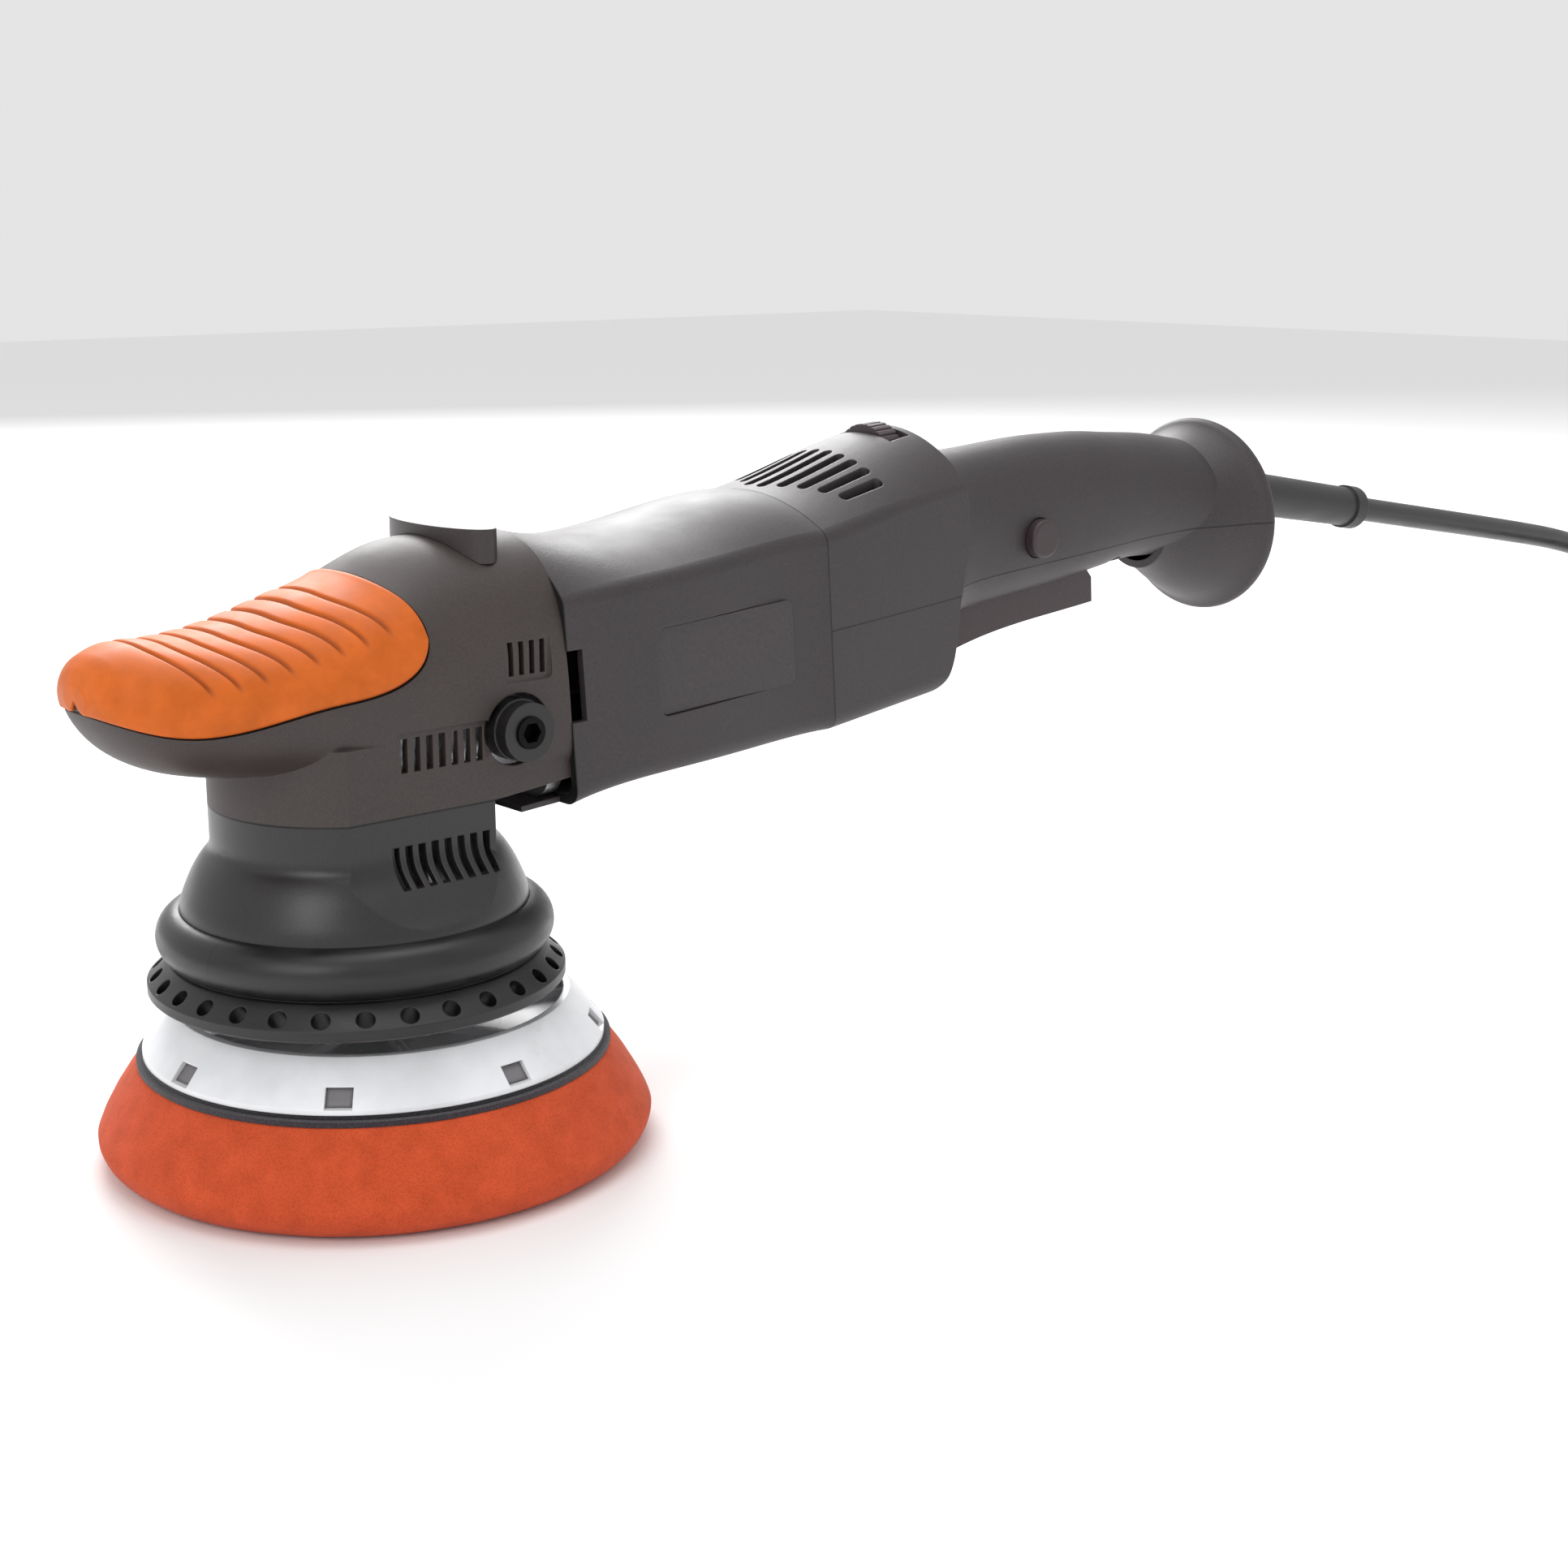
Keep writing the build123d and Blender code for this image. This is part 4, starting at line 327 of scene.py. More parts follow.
def open_cell_foam(name, colour):
    """Reticulated polyurethane foam: pores of about 0.6 mm, quite matt, with painted shade a little darker
    inside each pore.
    """
    material, shader = new_material(
        name,
        Roughness=0.95,
        IOR=1.45,
        **{"Sheen Weight": 0.06, "Sheen Roughness": 0.5, "Specular IOR Level": 0.2},
    )
    where = add(material, "ShaderNodeTexCoord").outputs["Object"]
    pores = add(
        material, "ShaderNodeTexVoronoi", {"Vector": where, "Scale": 1 / (0.62 * MM), "Randomness": 1.0}
    ).outputs["Distance"]
    cloud = add(
        material, "ShaderNodeTexNoise", {"Vector": where, "Scale": 1 / (7 * MM), "Detail": 4.0}
    ).outputs["Fac"]
    fuzz = add(
        material, "ShaderNodeTexNoise", {"Vector": where, "Scale": 1 / (1.5 * MM), "Detail": 3.0}
    ).outputs["Fac"]
    share = add(material, "ShaderNodeMapRange", {"Value": cloud, 1: 0.3, 2: 0.7}).outputs[0]
    deep = tuple(c * 0.88 for c in colour[:3]) + (1.0,)
    pale = tuple(min(1.0, c * 1.08 + 0.004) for c in colour[:3]) + (1.0,)
    base = add(
        material, "ShaderNodeMix", {"Factor": share, "A": deep, "B": pale}, data_type="RGBA"
    ).outputs["Result"]
    # painted shade: darker towards the middle of each pore, paler on the strands between
    pore_shade = add(
        material, "ShaderNodeMapRange", {"Value": pores, 1: 0.0, 2: 0.55, 3: 0.80, 4: 1.06}
    ).outputs[0]
    base = add(
        material, "ShaderNodeVectorMath", {0: base, "Scale": pore_shade}, operation="SCALE"
    ).outputs["Vector"]
    rough = add(material, "ShaderNodeMath", {0: pores, 1: fuzz}, operation="ADD").outputs[0]
    bump = add(
        material, "ShaderNodeBump", {"Strength": 0.7, "Distance": 0.16 * MM, "Height": rough}
    ).outputs[0]
    connect(material, shader, "Base Color", base)
    connect(material, shader, "Normal", bump)
    return material


def hook_and_loop(name, colour):
    """Hook or loop fabric: a tangle of fine nylon, black, with light caught on single fibres."""
    material, shader = new_material(
        name, Roughness=0.85, IOR=1.5, **{"Sheen Weight": 0.3, "Sheen Roughness": 0.4}
    )
    where = add(material, "ShaderNodeTexCoord").outputs["Object"]
    fibre = add(
        material,
        "ShaderNodeTexNoise",
        {"Vector": where, "Scale": 1 / (0.45 * MM), "Detail": 4.0, "Roughness": 0.7},
    ).outputs["Fac"]
    lit = add(material, "ShaderNodeMapRange", {"Value": fibre, 1: 0.45, 2: 0.75}).outputs[0]
    pale = tuple(c * 3.0 + 0.012 for c in colour[:3]) + (1.0,)
    base = add(
        material, "ShaderNodeMix", {"Factor": lit, "A": colour, "B": pale}, data_type="RGBA"
    ).outputs["Result"]
    bump = add(
        material, "ShaderNodeBump", {"Strength": 1.0, "Distance": 0.3 * MM, "Height": fibre}
    ).outputs[0]
    connect(material, shader, "Base Color", base)
    connect(material, shader, "Normal", bump)
    return material


def worked_metal(name, colour, roughness, mark_mm, stretch, depth):
    """Bare metal with the marks of its making: cast skin when even, turning or grinding when stretched."""
    material, shader = new_material(name, Roughness=roughness, Metallic=1.0)
    where = add(material, "ShaderNodeTexCoord").outputs["Object"]
    along = add(material, "ShaderNodeMapping", {"Vector": where, "Scale": stretch}).outputs[0]
    marks = add(
        material, "ShaderNodeTexNoise", {"Vector": along, "Scale": 1 / (mark_mm * MM), "Detail": 3.0}
    ).outputs["Fac"]
    tarnish = add(
        material, "ShaderNodeTexNoise", {"Vector": where, "Scale": 1 / (11 * MM), "Detail": 3.0}
    ).outputs["Fac"]
    bevel = add(material, "ShaderNodeBevel", {"Radius": 0.3 * MM}, samples=4).outputs[0]
    dull = tuple(c * 0.72 for c in colour[:3]) + (1.0,)
    base = add(
        material, "ShaderNodeMix", {"Factor": tarnish, "A": dull, "B": colour}, data_type="RGBA"
    ).outputs["Result"]
    gloss = add(
        material,
        "ShaderNodeMapRange",
        {"Value": marks, 1: 0.3, 2: 0.7, 3: max(0.05, roughness - 0.1), 4: roughness + 0.12},
    ).outputs[0]
    bump = add(
        material,
        "ShaderNodeBump",
        {"Strength": 0.6, "Distance": depth * MM, "Height": marks, "Normal": bevel},
    ).outputs[0]
    connect(material, shader, "Base Color", base)
    connect(material, shader, "Roughness", gloss)
    connect(material, shader, "Normal", bump)
    return material


def woven_strap(name, colour):
    """Woven closure strap: yarns about 0.8 mm apart across its length."""
    material, shader = new_material(name, Roughness=0.8, IOR=1.5, **{"Sheen Weight": 0.3})
    where = add(material, "ShaderNodeTexCoord").outputs["Object"]
    across = add(
        material,
        "ShaderNodeTexWave",
        {"Vector": where, "Scale": 1 / (0.8 * MM) / 20, "Distortion": 0.4},
        bands_direction="X",
    ).outputs["Fac"]
    yarn = add(
        material, "ShaderNodeTexNoise", {"Vector": where, "Scale": 1 / (0.5 * MM), "Detail": 3.0}
    ).outputs["Fac"]
    height = add(material, "ShaderNodeMath", {0: across, 1: yarn}, operation="ADD").outputs[0]
    pale = tuple(c * 2.2 + 0.01 for c in colour[:3]) + (1.0,)
    base = add(
        material, "ShaderNodeMix", {"Factor": yarn, "A": colour, "B": pale}, data_type="RGBA"
    ).outputs["Result"]
    bump = add(
        material, "ShaderNodeBump", {"Strength": 0.8, "Distance": 0.15 * MM, "Height": height}
    ).outputs[0]
    connect(material, shader, "Base Color", base)
    connect(material, shader, "Normal", bump)
    return material


# ---------------------------------------------------------------- shapes
# x, half width, height of the widest line, top, bottom, power above, power below, as the head is lofted
head_rows = np.array(
    (
        (-74.5, 6.5, 134.0, 137.6, 130.4, 2.0, 2.0),
        (-73.0, 12.5, 133.5, 140.8, 126.2, 2.0, 2.0),
        (-69.0, 18.8, 132.4, 143.6, 120.8, 2.1, 2.1),
        (-62.0, 23.4, 131.0, 145.4, 115.8, 2.2, 2.3),
        (-53.0, 26.6, 130.0, 144.9, 112.6, 2.3, 2.4),
        (-42.0, 28.7, 130.0, 145.6, 110.6, 2.3, 2.6),
        (-30.0, 30.2, 130.4, 148.0, 109.4, 2.2, 2.8),
        (-16.0, 31.4, 131.0, 152.2, 106.4, 2.2, 3.5),
        (-3.0, 32.0, 131.5, 156.4, 103.0, 2.2, 4.5),
        (7.0, 32.2, 131.0, 162.0, 102.5, 2.0, 5.0),
        (16.0, 32.2, 129.0, 164.6, 102.0, 2.1, 5.5),
    )
)
# x and z of the grip's edge seen from the side: along its lower edge to the rear, then up to the ridge
grip_edge = np.array(
    (
        (-95.0, 138.0),
        (-83.0, 134.6),
        (-72.0, 129.5),
        (-60.0, 126.0),
        (-46.0, 126.1),
        (-23.5, 129.6),
        (-2.5, 133.4),
        (4.2, 138.6),
        (6.0, 145.0),
        (3.6, 152.5),
        (-1.0, 158.0),
        (-4.0, 164.0),
    )
)


def head_value(x, column):
    """A column of head_rows at x: cubic pieces whose slopes are harmonic means, so they never overshoot."""
    stations, values = head_rows[:, 0], head_rows[:, column]
    gaps, chords = np.diff(stations), np.diff(values) / np.diff(stations)
    product, total = chords[:-1] * chords[1:], chords[:-1] + chords[1:]
    inner = np.where(product > 0, 2 * product / np.where(total == 0, 1, total), 0.0)
    slopes = np.concatenate([chords[:1], inner, chords[-1:]])
    index = np.clip(np.searchsorted(stations, x) - 1, 0, len(gaps) - 1)
    t = np.clip((x - stations[index]) / gaps[index], 0, 1)
    gap = gaps[index]
    return (
        (2 * t**3 - 3 * t**2 + 1) * values[index]
        + (t**3 - 2 * t**2 + t) * gap * slopes[index]
        + (3 * t**2 - 2 * t**3) * values[index + 1]
        + (t**3 - t**2) * gap * slopes[index + 1]
    )


def spline_through(points, count):
    """Points of a natural cubic spline through the given ones, its parameter the distance between them."""
    steps = np.linalg.norm(np.diff(points, axis=0), axis=1)
    at = np.concatenate([[0], np.cumsum(steps)])
    size = len(points)
    system, right = np.eye(size), np.zeros((size, points.shape[1]))
    for i in range(1, size - 1):
        system[i, i - 1 : i + 2] = (steps[i - 1], 2 * (steps[i - 1] + steps[i]), steps[i])
        right[i] = 6 * ((points[i + 1] - points[i]) / steps[i] - (points[i] - points[i - 1]) / steps[i - 1])
    bends = np.linalg.solve(system, right)
    u = np.linspace(0, at[-1], count)
    i = np.clip(np.searchsorted(at, u) - 1, 0, size - 2)
    h, a, b = steps[i][:, None], (at[i + 1] - u)[:, None], (u - at[i])[:, None]
    return (
        (bends[i] * a**3 + bends[i + 1] * b**3) / (6 * h)
        + (points[i] / h - bends[i] * h / 6) * a
        + (points[i + 1] / h - bends[i + 1] * h / 6) * b
    )


def side_of_head(x, z):
    """Half the head's width at x and z: half width times (1 - |rise / reach|^power)^(1 / power)."""
    half, middle = head_value(x, 1), head_value(x, 2)
    above = z > middle
    reach = np.where(above, head_value(x, 3) - middle, middle - head_value(x, 4))
    power = np.where(above, head_value(x, 5), head_value(x, 6))
    return half * np.clip(1 - np.clip(np.abs(z - middle) / reach, 0, 1) ** power, 0, 1) ** (1 / power)


def grip_surface(rows, columns, rise, depth, pitch, count):
    """The palm grip's outer skin.

    One parameter runs from the nose to the grip's rear edge, the other from the lower edge on one side over
    the ridge to the other side; height above the lower edge grows as the sine of the second. The skin stands
    rise above the head, rolls down at its edge as a quarter circle, and has count grooves: each is a narrow
    valley, exp(-(distance / groove_width)^2) deep, between gently crowned bands, running back down the side
    in an S. A quarter ellipse in nose_rows steps closes the nose.
    """
    nose_rows = 7
    edge_samples = 1200
    edge_roll = 1.3
    first_groove = -60.8
    groove_width = 0.6
    sweep_back = 8.6
    crown_share = 0.35
    edge = spline_through(grip_edge, edge_samples)
    turn = int(np.argmax(edge[:, 0]))
    lower, rear = edge[:turn], edge[turn:]
    nose = head_rows[0, 0]

    def lower_height(x):
        """Height of the grip's lower edge at x, never under the head's own underside."""
        return np.maximum(np.interp(x, lower[:, 0], lower[:, 1]), head_value(x, 4))

    foot = lower_height(rear[:, 0])
    share = (rear[:, 1] - foot) / (head_value(rear[:, 0], 3) - foot)
    upto = int(np.argmax(share >= 1.0)) + 1
    along = np.linspace(0, 1, rows)[:, None] ** 1.25
    turn_angle = np.linspace(0, math.pi, columns)[None, :]
    height = np.sin(turn_angle) ** 0.92
    rear_x = np.interp(height, share[:upto], rear[:upto, 0])
    x = nose + (rear_x - nose) * along
    low = lower_height(x)
    z = low + (head_value(x, 3) - low) * height
    y = side_of_head(x, z) * np.where(turn_angle < math.pi / 2, -1.0, 1.0)
    y[:, columns // 2] = 0.0
    points = np.stack([x, y, z], axis=-1)
    ahead = np.gradient(points, axis=0)
    around = np.gradient(points, axis=1)
    normal = np.cross(around, ahead)
    normal /= np.linalg.norm(normal, axis=-1, keepdims=True) + 1e-12
    outward = points - np.array([0.0, 0.0, 1.0]) * head_value(x, 2)[..., None]
    outward[..., 0] = 0
    normal *= np.sign((normal * outward).sum(-1) + 1e-9)[..., None]
    # the first row is nearly a point, so its direction is given: straight ahead
    normal[0] = (-1.0, 0.0, 0.0)
    step_along = np.linalg.norm(np.diff(points, axis=0), axis=-1)
    to_rear = np.concatenate([np.cumsum(step_along[::-1], axis=0)[::-1], np.zeros((1, columns))])
    step_round = np.linalg.norm(np.diff(points, axis=1), axis=-1)
    from_left = np.concatenate([np.zeros((rows, 1)), np.cumsum(step_round, axis=1)], axis=1)
    to_edge = np.minimum(to_rear, np.minimum(from_left, from_left[:, -1:] - from_left))
    rolled = np.sqrt(np.clip(1 - (1 - np.clip(to_edge / edge_roll, 0, 1)) ** 2, 0, 1))
    down = np.abs(turn_angle - math.pi / 2) / (math.pi / 2) + 0 * x
    shift = sweep_back * smooth((down - 0.12) / 0.62)
    place = (x - shift - first_groove) / pitch
    nearest = np.clip(np.round(place), 0, count - 1)
    off = (place - nearest) * pitch
    fade = 1 - smooth((down - 0.60) / 0.14)
    groove = np.exp(-((off / groove_width) ** 2)) * fade
    within = np.clip(place, 0, count - 1) - np.floor(np.clip(place, 0, count - 1))
    crown = (1 - (2 * within - 1) ** 2) * fade * ((place > 0) & (place < count - 1))
    lift = rise * rolled - depth * groove + crown_share * depth * crown
    skin = points + normal * lift[..., None]
    tip = np.array([nose - 1.4 * rise, 0.0, head_value(nose, 2)])
    swing = np.linspace(math.pi / 2, 0, nose_rows, endpoint=False)[:, None]
    spread = np.stack([1 - np.sin(swing), np.cos(swing), np.cos(swing)], axis=-1)
    cap = tip + (skin[0] - tip) * spread
    skin = np.concatenate([cap[1:], skin])
    groove = np.concatenate([np.zeros((nose_rows - 1, columns)), groove])
    faces = grid_faces(len(skin), columns, False)
    faces += [(len(skin) * columns, k + 1, k) for k in range(columns - 1)]
    return np.concatenate([skin.reshape(-1, 3), [tip]]), faces, np.append(groove, 0.0)


def lathe(profile, segments, centre, wobble=None):
    """Points and faces of a profile of (radius, height) turned about a vertical axis.

    The profile's two ends are on the axis and close it. wobble, if given, adds radius as a function of angle
    and height.
    """
    radius, height = np.asarray(profile, float).T
    inner = slice(1, -1)
    angle = np.linspace(0, 2 * math.pi, segments, endpoint=False)[None, :]
    r = radius[inner, None] + 0 * angle
    z = height[inner, None] + 0 * angle
    if wobble is not None:
        r = r + wobble(angle, z)
    ring = np.stack([centre[0] + r * np.cos(angle), centre[1] + r * np.sin(angle), z], axis=-1)
    rows = ring.shape[0]
    points = np.concatenate(
        [ring.reshape(-1, 3), [[centre[0], centre[1], height[0]], [centre[0], centre[1], height[-1]]]]
    )
    faces = grid_faces(rows, segments, True)
    first, last = rows * segments, rows * segments + 1
    faces += [(first, (k + 1) % segments, k) for k in range(segments)]
    top = (rows - 1) * segments
    faces += [(last, top + k, top + (k + 1) % segments) for k in range(segments)]
    return points, faces


def window_inserts(count, first, half_width, low, high, outer, inner):
    """Points and faces of the blocks behind the plate's windows, count of them evenly round the pad's axis.

    A block is two grids of points, share of the width by share of the height. The front one's radius runs
    evenly from outer[0] at its foot to outer[1] at its top, the back one's is inner, and quads along their
    rims join them. Block k is turned by first plus k parts of a full turn.
    """
    wide, tall = 7, 5
    side, up = np.meshgrid(np.linspace(-half_width, half_width, wide), np.linspace(0, 1, tall))
    radial = np.stack([outer[0] + (outer[1] - outer[0]) * up, np.full_like(up, inner)])
    turn = (first + 2 * math.pi * np.arange(count) / count)[:, None, None, None]
    x = orbit_centre[0] + radial * np.cos(turn) - side * np.sin(turn)
    y = orbit_centre[1] + radial * np.sin(turn) + side * np.cos(turn)
    points = np.stack([x, y, low + (high - low) * up + 0 * x], axis=-1).reshape(-1, 3)
    front, back = np.arange(2 * tall * wide).reshape(2, tall, wide)
    rims = [np.concatenate([g[0, :-1], g[:-1, -1], g[-1, :0:-1], g[:0:-1, 0]]) for g in (front, back)]
    after = [np.roll(rim, -1) for rim in rims]
    front_quads = np.stack([front[:-1, :-1], front[:-1, 1:], front[1:, 1:], front[1:, :-1]], axis=-1)
    back_quads = np.stack([back[1:, :-1], back[1:, 1:], back[:-1, 1:], back[:-1, :-1]], axis=-1)
    rim_quads = np.stack([after[0], rims[0], rims[1], after[1]], axis=-1)
    block = np.concatenate([front_quads.reshape(-1, 4), back_quads.reshape(-1, 4), rim_quads])
    faces = block[None] + (2 * tall * wide * np.arange(count))[:, None, None]
    return points, faces.reshape(-1, 4).tolist()


def coil_cells():
    """Column and layer of each turn, side by side and on each other, from the outer top one inwards."""
    return ((2, 3), (2, 2), (2, 1), (2, 0), (1, 0), (0, 0), (0, 1), (1, 1), (1, 2), (0, 2), (0, 3), (1, 3))


def coil_points():
    """The coil's control points.

    The angle falls in even steps. Radius and height hold each cell of the winding and move to the next one
    over a third of a turn, 60 degrees earlier in each turn, so a turn never passes through the next. The last
    stretch rises over the coil and runs straight into the plug.
    """
    cells = np.array(coil_cells(), float)
    per_cell = 300.0
    change = 120.0
    step = 18.0
    rise_start = 3554.0
    rise_travel = 100.0
    travel_end = 3672.0
    travel = np.arange(step, travel_end + 1, step)
    radii = coil_radius + (cells[:, 0] - 1) * 2 * cord_radius
    heights = (2 * cells[:, 1] + 1) * cord_radius
    radius = np.full(travel.shape, radii[0])
    height = np.full(travel.shape, heights[0])
    for k in range(1, len(cells)):
        moved = smooth((travel - per_cell * k + change / 2) / change)
        radius += (radii[k] - radii[k - 1]) * moved
        height += (heights[k] - heights[k - 1]) * moved
    plug_height = 2 * coil_layers * cord_radius + 12.0
    height += (plug_height - heights[-1]) * smooth((travel - rise_start) / rise_travel)
    radius *= 2 / (1 + math.cos(math.radians(step / 2)))
    angle = np.radians(coil_entry - travel)
    points = np.stack(
        [coil_centre[0] + radius * np.cos(angle), coil_centre[1] + radius * np.sin(angle), height], axis=-1
    )
    end = [(coil_centre[0] + coil_radius, coil_centre[1] + 2.0, plug_height)]
    return np.concatenate([points, end])


# ---------------------------------------------------------------- what a user would change
class PolisherSettings(bpy.types.PropertyGroup):
    housing_colour: bpy.props.FloatVectorProperty(
        name="Housing", description="Motor and rear housings", subtype="COLOR", size=4, min=0, max=1,
        default=linear("#332d30"),
    )
    cover_colour: bpy.props.FloatVectorProperty(
        name="Head cover", description="Cover over the gears", subtype="COLOR", size=4, min=0, max=1,
        default=linear("#382f2d"),
    )
    grip_colour: bpy.props.FloatVectorProperty(
        name="Palm grip", description="Soft grip on the nose", subtype="COLOR", size=4, min=0, max=1,
        default=linear("#cb6118"),
    )
    foam_colour: bpy.props.FloatVectorProperty(
        name="Foam", description="Polishing pad", subtype="COLOR", size=4, min=0, max=1,
        default=linear("#c44e2b"),
    )
    control_colour: bpy.props.FloatVectorProperty(
        name="Controls", description="Trigger, lock button and dial", subtype="COLOR", size=4, min=0, max=1,
        default=linear("#392d30"),
    )
    groove_count: bpy.props.IntProperty(
        name="Grip grooves", description="Grooves across the palm grip", default=8, min=2, max=12
    )
    groove_depth: bpy.props.FloatProperty(
        name="Groove depth", description="Depth of each groove", default=0.75 * MM, min=0.0, max=1.2 * MM,
        subtype="DISTANCE", unit="LENGTH",
    )
    cord_length: bpy.props.FloatProperty(
        name="Cord length", description="Free length from the strain relief to the plug", default=3.95,
        min=1.0, max=8.0, subtype="DISTANCE", unit="LENGTH",
    )


# ---------------------------------------------------------------- operators
class POLISHER_OT_stage(bpy.types.Operator):
    """Camera, pale floor, soft lights and world"""

    bl_idname = "polisher.stage"
    bl_label = "Stage and camera"

    def execute(self, context):
        scene = context.scene
        camera_data = bpy.data.cameras.new("camera")
        camera_data.lens = 54.95
        camera_data.sensor_width = 36.0
        camera_data.clip_start = 0.01
        camera_data.clip_end = 50.0
        camera = bpy.data.objects.new("camera", camera_data)
        # the camera's own right and up directions
        right = Vector((0.74745, -0.66432, 0.0))
        up = Vector((0.15474, 0.17410, 0.97249))
        back = right.cross(up)
        turn = Matrix((right, up, back)).transposed().to_4x4()
        camera.matrix_world = Matrix.Translation((-0.3223, -0.5343, 0.2481)) @ turn
        scene.collection.objects.link(camera)
        scene.camera = camera

        floor_material, floor_shader = new_material("matt_backdrop_paper", Roughness=0.9)
        floor_shader.inputs["Base Color"].default_value = linear("#f4f4f4")
        floor = mesh_piece(
            "floor", [(-4000, -4000, 0), (4000, -4000, 0), (4000, 4000, 0), (-4000, 4000, 0)], [(0, 1, 2, 3)],
            floor_material,
        )

        world = bpy.data.worlds.new("studio")
        world.use_nodes = True
        world.node_tree.nodes["Background"].inputs["Color"].default_value = (1.0, 1.0, 1.0, 1.0)
        world.node_tree.nodes["Background"].inputs["Strength"].default_value = 0.78
        scene.world = world
        scene.view_settings.view_transform = "Standard"
        lamps = (
            ("overhead_softbox", (0.15, 0.1, 1.3), (0.15, 0.0, 0.1), 1.0, 6.0),
            ("rear_softbox", (0.9, 1.5, 1.2), (0.15, 0.0, 0.1), 1.2, 38.0),
            ("front_softbox", (-1.1, -0.5, 0.9), (0.0, 0.0, 0.1), 0.7, 4.0),
        )
        for name, place, target, size, power in lamps:
            lamp_data = bpy.data.lights.new(name, "AREA")
            lamp_data.shape = "SQUARE"
            lamp_data.size = size
            lamp_data.energy = power
            lamp = bpy.data.objects.new(name, lamp_data)
            aim = Vector(target) - Vector(place)
            lamp.matrix_world = Matrix.Translation(place) @ aim.to_track_quat("-Z", "Y").to_matrix().to_4x4()
            scene.collection.objects.link(lamp)
        return {"FINISHED"}


class POLISHER_OT_cord(bpy.types.Operator):
    """Mains cord from the strain relief to its tied coil and plug"""

    bl_idname = "polisher.cord"
    bl_label = "Mains cord"

    def execute(self, context):
        entry = math.radians(coil_entry)
        outer = coil_radius + 2 * cord_radius
        meeting = (
            coil_centre[0] + outer * math.cos(entry),
            coil_centre[1] + outer * math.sin(entry),
            (2 * coil_layers - 1) * cord_radius,
        )
        points = np.concatenate([cord_route, [meeting], coil_points()]) * MM
        curve = bpy.data.curves.new("mains_cord", "CURVE")
        curve.dimensions = "3D"
        curve.resolution_u = 6
        curve.bevel_depth = cord_radius * MM
        curve.bevel_resolution = 4
        curve.use_fill_caps = True
        spline = curve.splines.new("NURBS")
        spline.points.add(len(points) - 1)
        spline.points.foreach_set("co", np.concatenate([points, np.ones((len(points), 1))], axis=1).ravel())
        spline.order_u = 3
        spline.use_endpoint_u = True
        curve.materials.append(moulded_rubber("rubber_sheath", linear("#1f1d1e"), 0.40))
        cord = bpy.data.objects.new("mains_cord", curve)
        context.scene.collection.objects.link(cord)
        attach(cord, "machine")
        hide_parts("cord_tube", "cord_coil")
        return {"FINISHED"}


class POLISHER_OT_pad(bpy.types.Operator):
    """Foam pad with its pressed edge and slightly crowned sides"""

    bl_idname = "polisher.pad"
    bl_label = "Foam pad"

    def execute(self, context):
        flat, lip_width, lip_height = 66.2, 8.5, 8.2
        side_lean, side_height, crown = 10.9, 18.4, 0.5
        edge_width, edge_height = 0.5, 0.35
        widest = flat + lip_width
        shoulder, shoulder_height = widest - side_lean, lip_height + side_height
        t = np.linspace(0, 1, 30)
        face = np.stack([np.linspace(0, flat, 26), np.zeros(26)], axis=1)
        bend = t * math.pi / 2
        lip = np.stack([flat + lip_width * np.sin(bend), lip_height * (1 - np.cos(bend))], axis=1)
        lean = side_lean * t**1.12
        side = np.stack([widest - lean + crown * np.sin(math.pi * t), lip_height + side_height * t], axis=1)
        top_edge = np.stack(
            [shoulder - edge_width * np.sin(bend), shoulder_height + edge_height * np.sin(bend)], axis=1
        )
        top = np.stack(
            [np.linspace(shoulder - edge_width, 0, 16), np.full(16, shoulder_height + edge_height)], axis=1
        )
        profile = np.concatenate([face, lip[1:], side[1:], top_edge[1:], top[1:]])

        def wobble(angle, z):
            """Cut foam is never quite round: a few low waves, a tenth of a millimetre high."""
            slow = 0.09 * np.sin(3 * angle + 0.7) + 0.06 * np.sin(11 * angle + z / 4)
            return slow + 0.04 * np.sin(23 * angle - z)

        points, faces = lathe(profile, 240, orbit_centre, wobble)
        foam = open_cell_foam("open_cell_foam", settings().foam_colour)
        pad = mesh_piece("foam_pad_soft", points, faces, foam)
        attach(pad, "pad")
        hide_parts("foam_pad")
        return {"FINISHED"}


class POLISHER_OT_grip(bpy.types.Operator):
    """Soft palm grip with its S-shaped grooves"""

    bl_idname = "polisher.grip"
    bl_label = "Palm grip"

    def execute(self, context):
        points, faces, groove = grip_surface(
            rows=290,
            columns=131,
            rise=0.85,
            depth=settings().groove_depth / MM,
            pitch=6.97,
            count=settings().groove_count,
        )
        faces = [face[::-1] for face in faces]
        grip = mesh_piece(
            "palm_grip_soft", points, faces, overmould("thermoplastic_overmould", settings().grip_colour)
        )
        attribute = grip.data.attributes.new("groove", "FLOAT", "POINT")
        attribute.data.foreach_set("value", groove.astype(np.float32))
        shell = grip.modifiers.new("wall", "SOLIDIFY")
        shell.thickness = 1.9 * MM
        shell.offset = -1.0
        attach(grip, "machine")
        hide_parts("palm_grip")
        return {"FINISHED"}


class POLISHER_OT_windows(bpy.types.Operator):
    """Grey inserts behind the backing plate's windows"""

    bl_idname = "polisher.windows"
    bl_label = "Plate windows"

    def execute(self, context):
        material = moulded("grey_urethane_insert", linear("#757275"), 0.5, 0.6, 0.02, edge=0.2, fleck=0.04)
        points, faces = window_inserts(
            count=8,
            first=math.radians(4.0),
            half_width=3.42,
            low=31.2,
            high=35.3,
            outer=(60.4, 56.6),
            inner=52.8,
        )
        inserts = mesh_piece("plate_window_inserts", points, faces, material)
        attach(inserts, "pad")
        return {"FINISHED"}


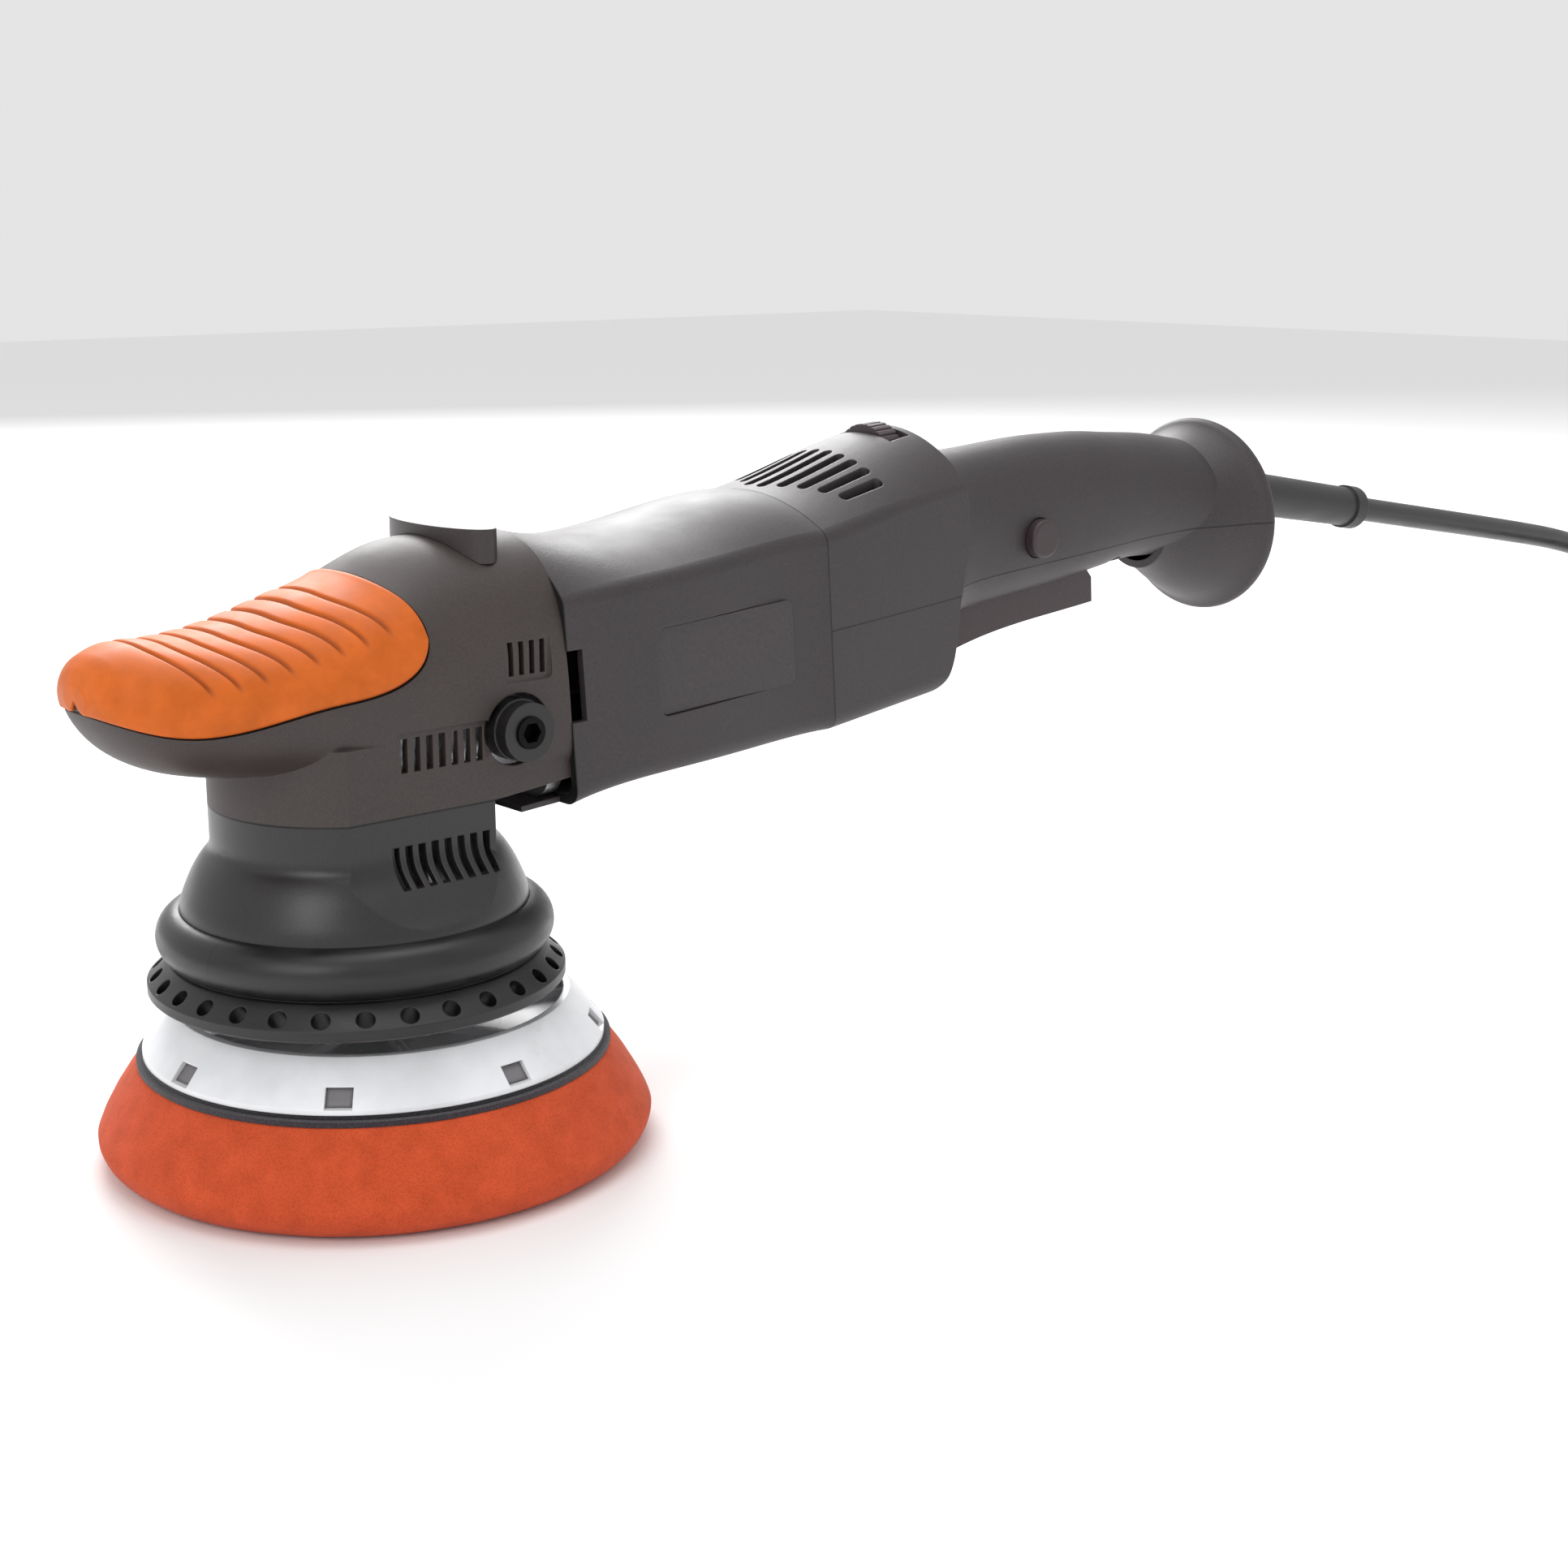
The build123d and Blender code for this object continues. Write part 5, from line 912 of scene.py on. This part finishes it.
class POLISHER_OT_finishes(bpy.types.Operator):
    """Finishes of the pieces that keep their CAD shape"""

    bl_idname = "polisher.finishes"
    bl_label = "Finishes"

    def execute(self, context):
        look = settings()
        up_offset = axis_height * motor_up[2]
        along_offset = axis_height * motor_direction[2]
        housing = tuple(look.housing_colour)
        front = [(motor_direction, head_split + along_offset), (motor_direction, rear_split + along_offset)]
        joint = [((0.0, 0.0, 1.0), parting_height)]
        finish = {
            # glass-filled nylon off a spark-eroded mould: a dry, even grain and a dark line at each joint
            "motor_nylon": moulded("spark_textured_nylon_motor", housing, 0.50, 0.7, 0.05, front),
            "rear_nylon": moulded(
                "spark_textured_nylon_rear", housing, 0.50, 0.7, 0.05,
                [(motor_up, seam_rise + up_offset), (motor_direction, rear_split + along_offset)],
            ),
            # the same nylon off a finer mould: a satin skin with long, soft highlights
            "shroud_nylon": moulded("satin_nylon_shroud", linear("#211e1f"), 0.34, 0.6, 0.02, joint),
            "cover": moulded("satin_nylon_cover", tuple(look.cover_colour), 0.52, 0.5, 0.02, joint),
            "badge": moulded("satin_badge", linear("#332b2b"), 0.42, 0.5, 0.015),
            # acetal and other small mouldings: nearly smooth, edges rubbed a little paler
            "black_trim": moulded("black_acetal", linear("#171516"), 0.38, 0.5, 0.015, edge=0.4),
            "label": moulded("satin_plate", linear("#352f32"), 0.42, 0.8, 0.01, edge=0.25),
            "control": moulded("satin_control_nylon", tuple(look.control_colour), 0.5, 0.5, 0.02),
            # cast urethane: clean, near white and quite glossy, with hardly any fleck
            "plate": moulded("white_urethane", linear("#e6e7ea"), 0.30, 1.4, 0.01, edge=0.5, fleck=0.01),
            # inner pieces: varnished board, plain nylon and pressed carbon, duller in that order
            "board": moulded("coated_board", linear("#1d4a2b"), 0.3, 1.0, 0.01),
            "fan": moulded("nylon_fan", linear("#232325"), 0.45, 0.6, 0.02),
            "carbon": moulded("pressed_carbon", linear("#1b1b1c"), 0.7, 0.4, 0.03),
            # moulded rubber: deep black with broad, soft highlights
            "boot": moulded_rubber("moulded_rubber_boot", linear("#131213"), 0.38, math.radians(193.5)),
            "relief": moulded_rubber("moulded_rubber_relief", linear("#1d1b1c"), 0.44),
            "plug": moulded_rubber("moulded_rubber_plug", linear("#191718"), 0.44),
            # nylon hooks and loops: a thin fuzzy line between plate and foam
            "hook": hook_and_loop("hook_fabric", linear("#1d1a1f")),
            "loop": hook_and_loop("loop_fabric", linear("#262228")),
            # metals: turning, casting or grinding marks set how wide each highlight spreads
            "steel": worked_metal("turned_steel", linear("#b5b5b8"), 0.32, 0.5, (1, 1, 14), 0.01),
            "black_steel": worked_metal("blackened_steel", linear("#232223"), 0.5, 0.5, (1, 1, 1), 0.01),
            "bearing": worked_metal("ground_bearing_steel", linear("#c9c9cc"), 0.2, 0.4, (1, 1, 20), 0.005),
            "cast": worked_metal("die_cast_aluminium", linear("#c3c3c6"), 0.42, 1.2, (1, 1, 1), 0.03),
            "iron": worked_metal("stacked_sheet", linear("#5b5b60"), 0.5, 0.5, (14, 1, 1), 0.02),
            "copper": worked_metal("wound_copper", linear("#b4643a"), 0.3, 0.6, (10, 1, 1), 0.03),
            "brass": worked_metal("folded_brass", linear("#b99a55"), 0.34, 0.7, (1, 1, 1), 0.01),
            "nickel": worked_metal("nickel_plate", linear("#cfccc4"), 0.18, 0.6, (1, 12, 1), 0.004),
            # woven strap: a coarse, matt weave
            "strap": woven_strap("woven_strap", linear("#1c1b1c")),
        }
        wearing = {
            "motor_nylon": ("motor_housing",),
            "rear_nylon": ("rear_shell_upper", "rear_shell_lower"),
            "shroud_nylon": ("shroud",),
            "cover": ("head_cover",),
            "badge": ("badge_plate",),
            "black_trim": ("side_washers", "switch_module", "cord_clamp"),
            "label": ("rating_plates",),
            "control": ("trigger", "lock_button", "speed_dial"),
            "plate": ("backing_plate",),
            "board": ("speed_board",),
            "fan": ("fan",),
            "carbon": ("carbon_brushes",),
            "boot": ("boot_ring",),
            "relief": ("strain_relief",),
            "plug": ("plug_body",),
            "hook": ("plate_hook_layer",),
            "loop": ("pad_loop_layer",),
            "steel": (
                "plate_stud", "pad_spindle", "spindle", "crown_gear", "pinion", "armature_shaft",
                "brush_springs", "head_screws", "trigger_pin", "trigger_spring",
            ),
            "black_steel": ("side_bolts", "eccentric", "handle_screws"),
            "bearing": (
                "pad_bearings", "spindle_bearing_upper", "spindle_bearing_lower", "armature_bearing_front",
                "armature_bearing_rear",
            ),
            "cast": ("gear_housing", "bearing_plate"),
            "iron": ("armature_core", "stator_core"),
            "copper": ("armature_windings", "commutator", "field_coils"),
            "brass": ("brush_holders",),
            "nickel": ("plug_pins",),
            "strap": ("cord_tie",),
        }
        for kind, names in wearing.items():
            for name in names:
                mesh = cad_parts[name].data
                mesh.materials.clear()
                mesh.materials.append(finish[kind])
        return {"FINISHED"}


class POLISHER_PT_panel(bpy.types.Panel):
    bl_idname = "POLISHER_PT_panel"
    bl_label = "Polisher"
    bl_space_type = "VIEW_3D"
    bl_region_type = "UI"
    bl_category = "Polisher"

    def draw(self, context):
        column = self.layout.column()
        for name in PolisherSettings.__annotations__:
            column.prop(context.scene.polisher, name)
        for operator in operators:
            column.operator(operator.bl_idname)


operators = (
    POLISHER_OT_stage,
    POLISHER_OT_cord,
    POLISHER_OT_pad,
    POLISHER_OT_grip,
    POLISHER_OT_windows,
    POLISHER_OT_finishes,
)
classes = (PolisherSettings, *operators, POLISHER_PT_panel)


def register():
    for kind in classes:
        bpy.utils.register_class(kind)
    bpy.types.Scene.polisher = bpy.props.PointerProperty(type=PolisherSettings)


def unregister():
    del bpy.types.Scene.polisher
    for kind in reversed(classes):
        bpy.utils.unregister_class(kind)


def main():
    register()
    bpy.ops.polisher.stage()
    bpy.ops.polisher.cord()
    bpy.ops.polisher.pad()
    bpy.ops.polisher.grip()
    bpy.ops.polisher.windows()
    bpy.ops.polisher.finishes()


if __name__ == "__main__":
    main()
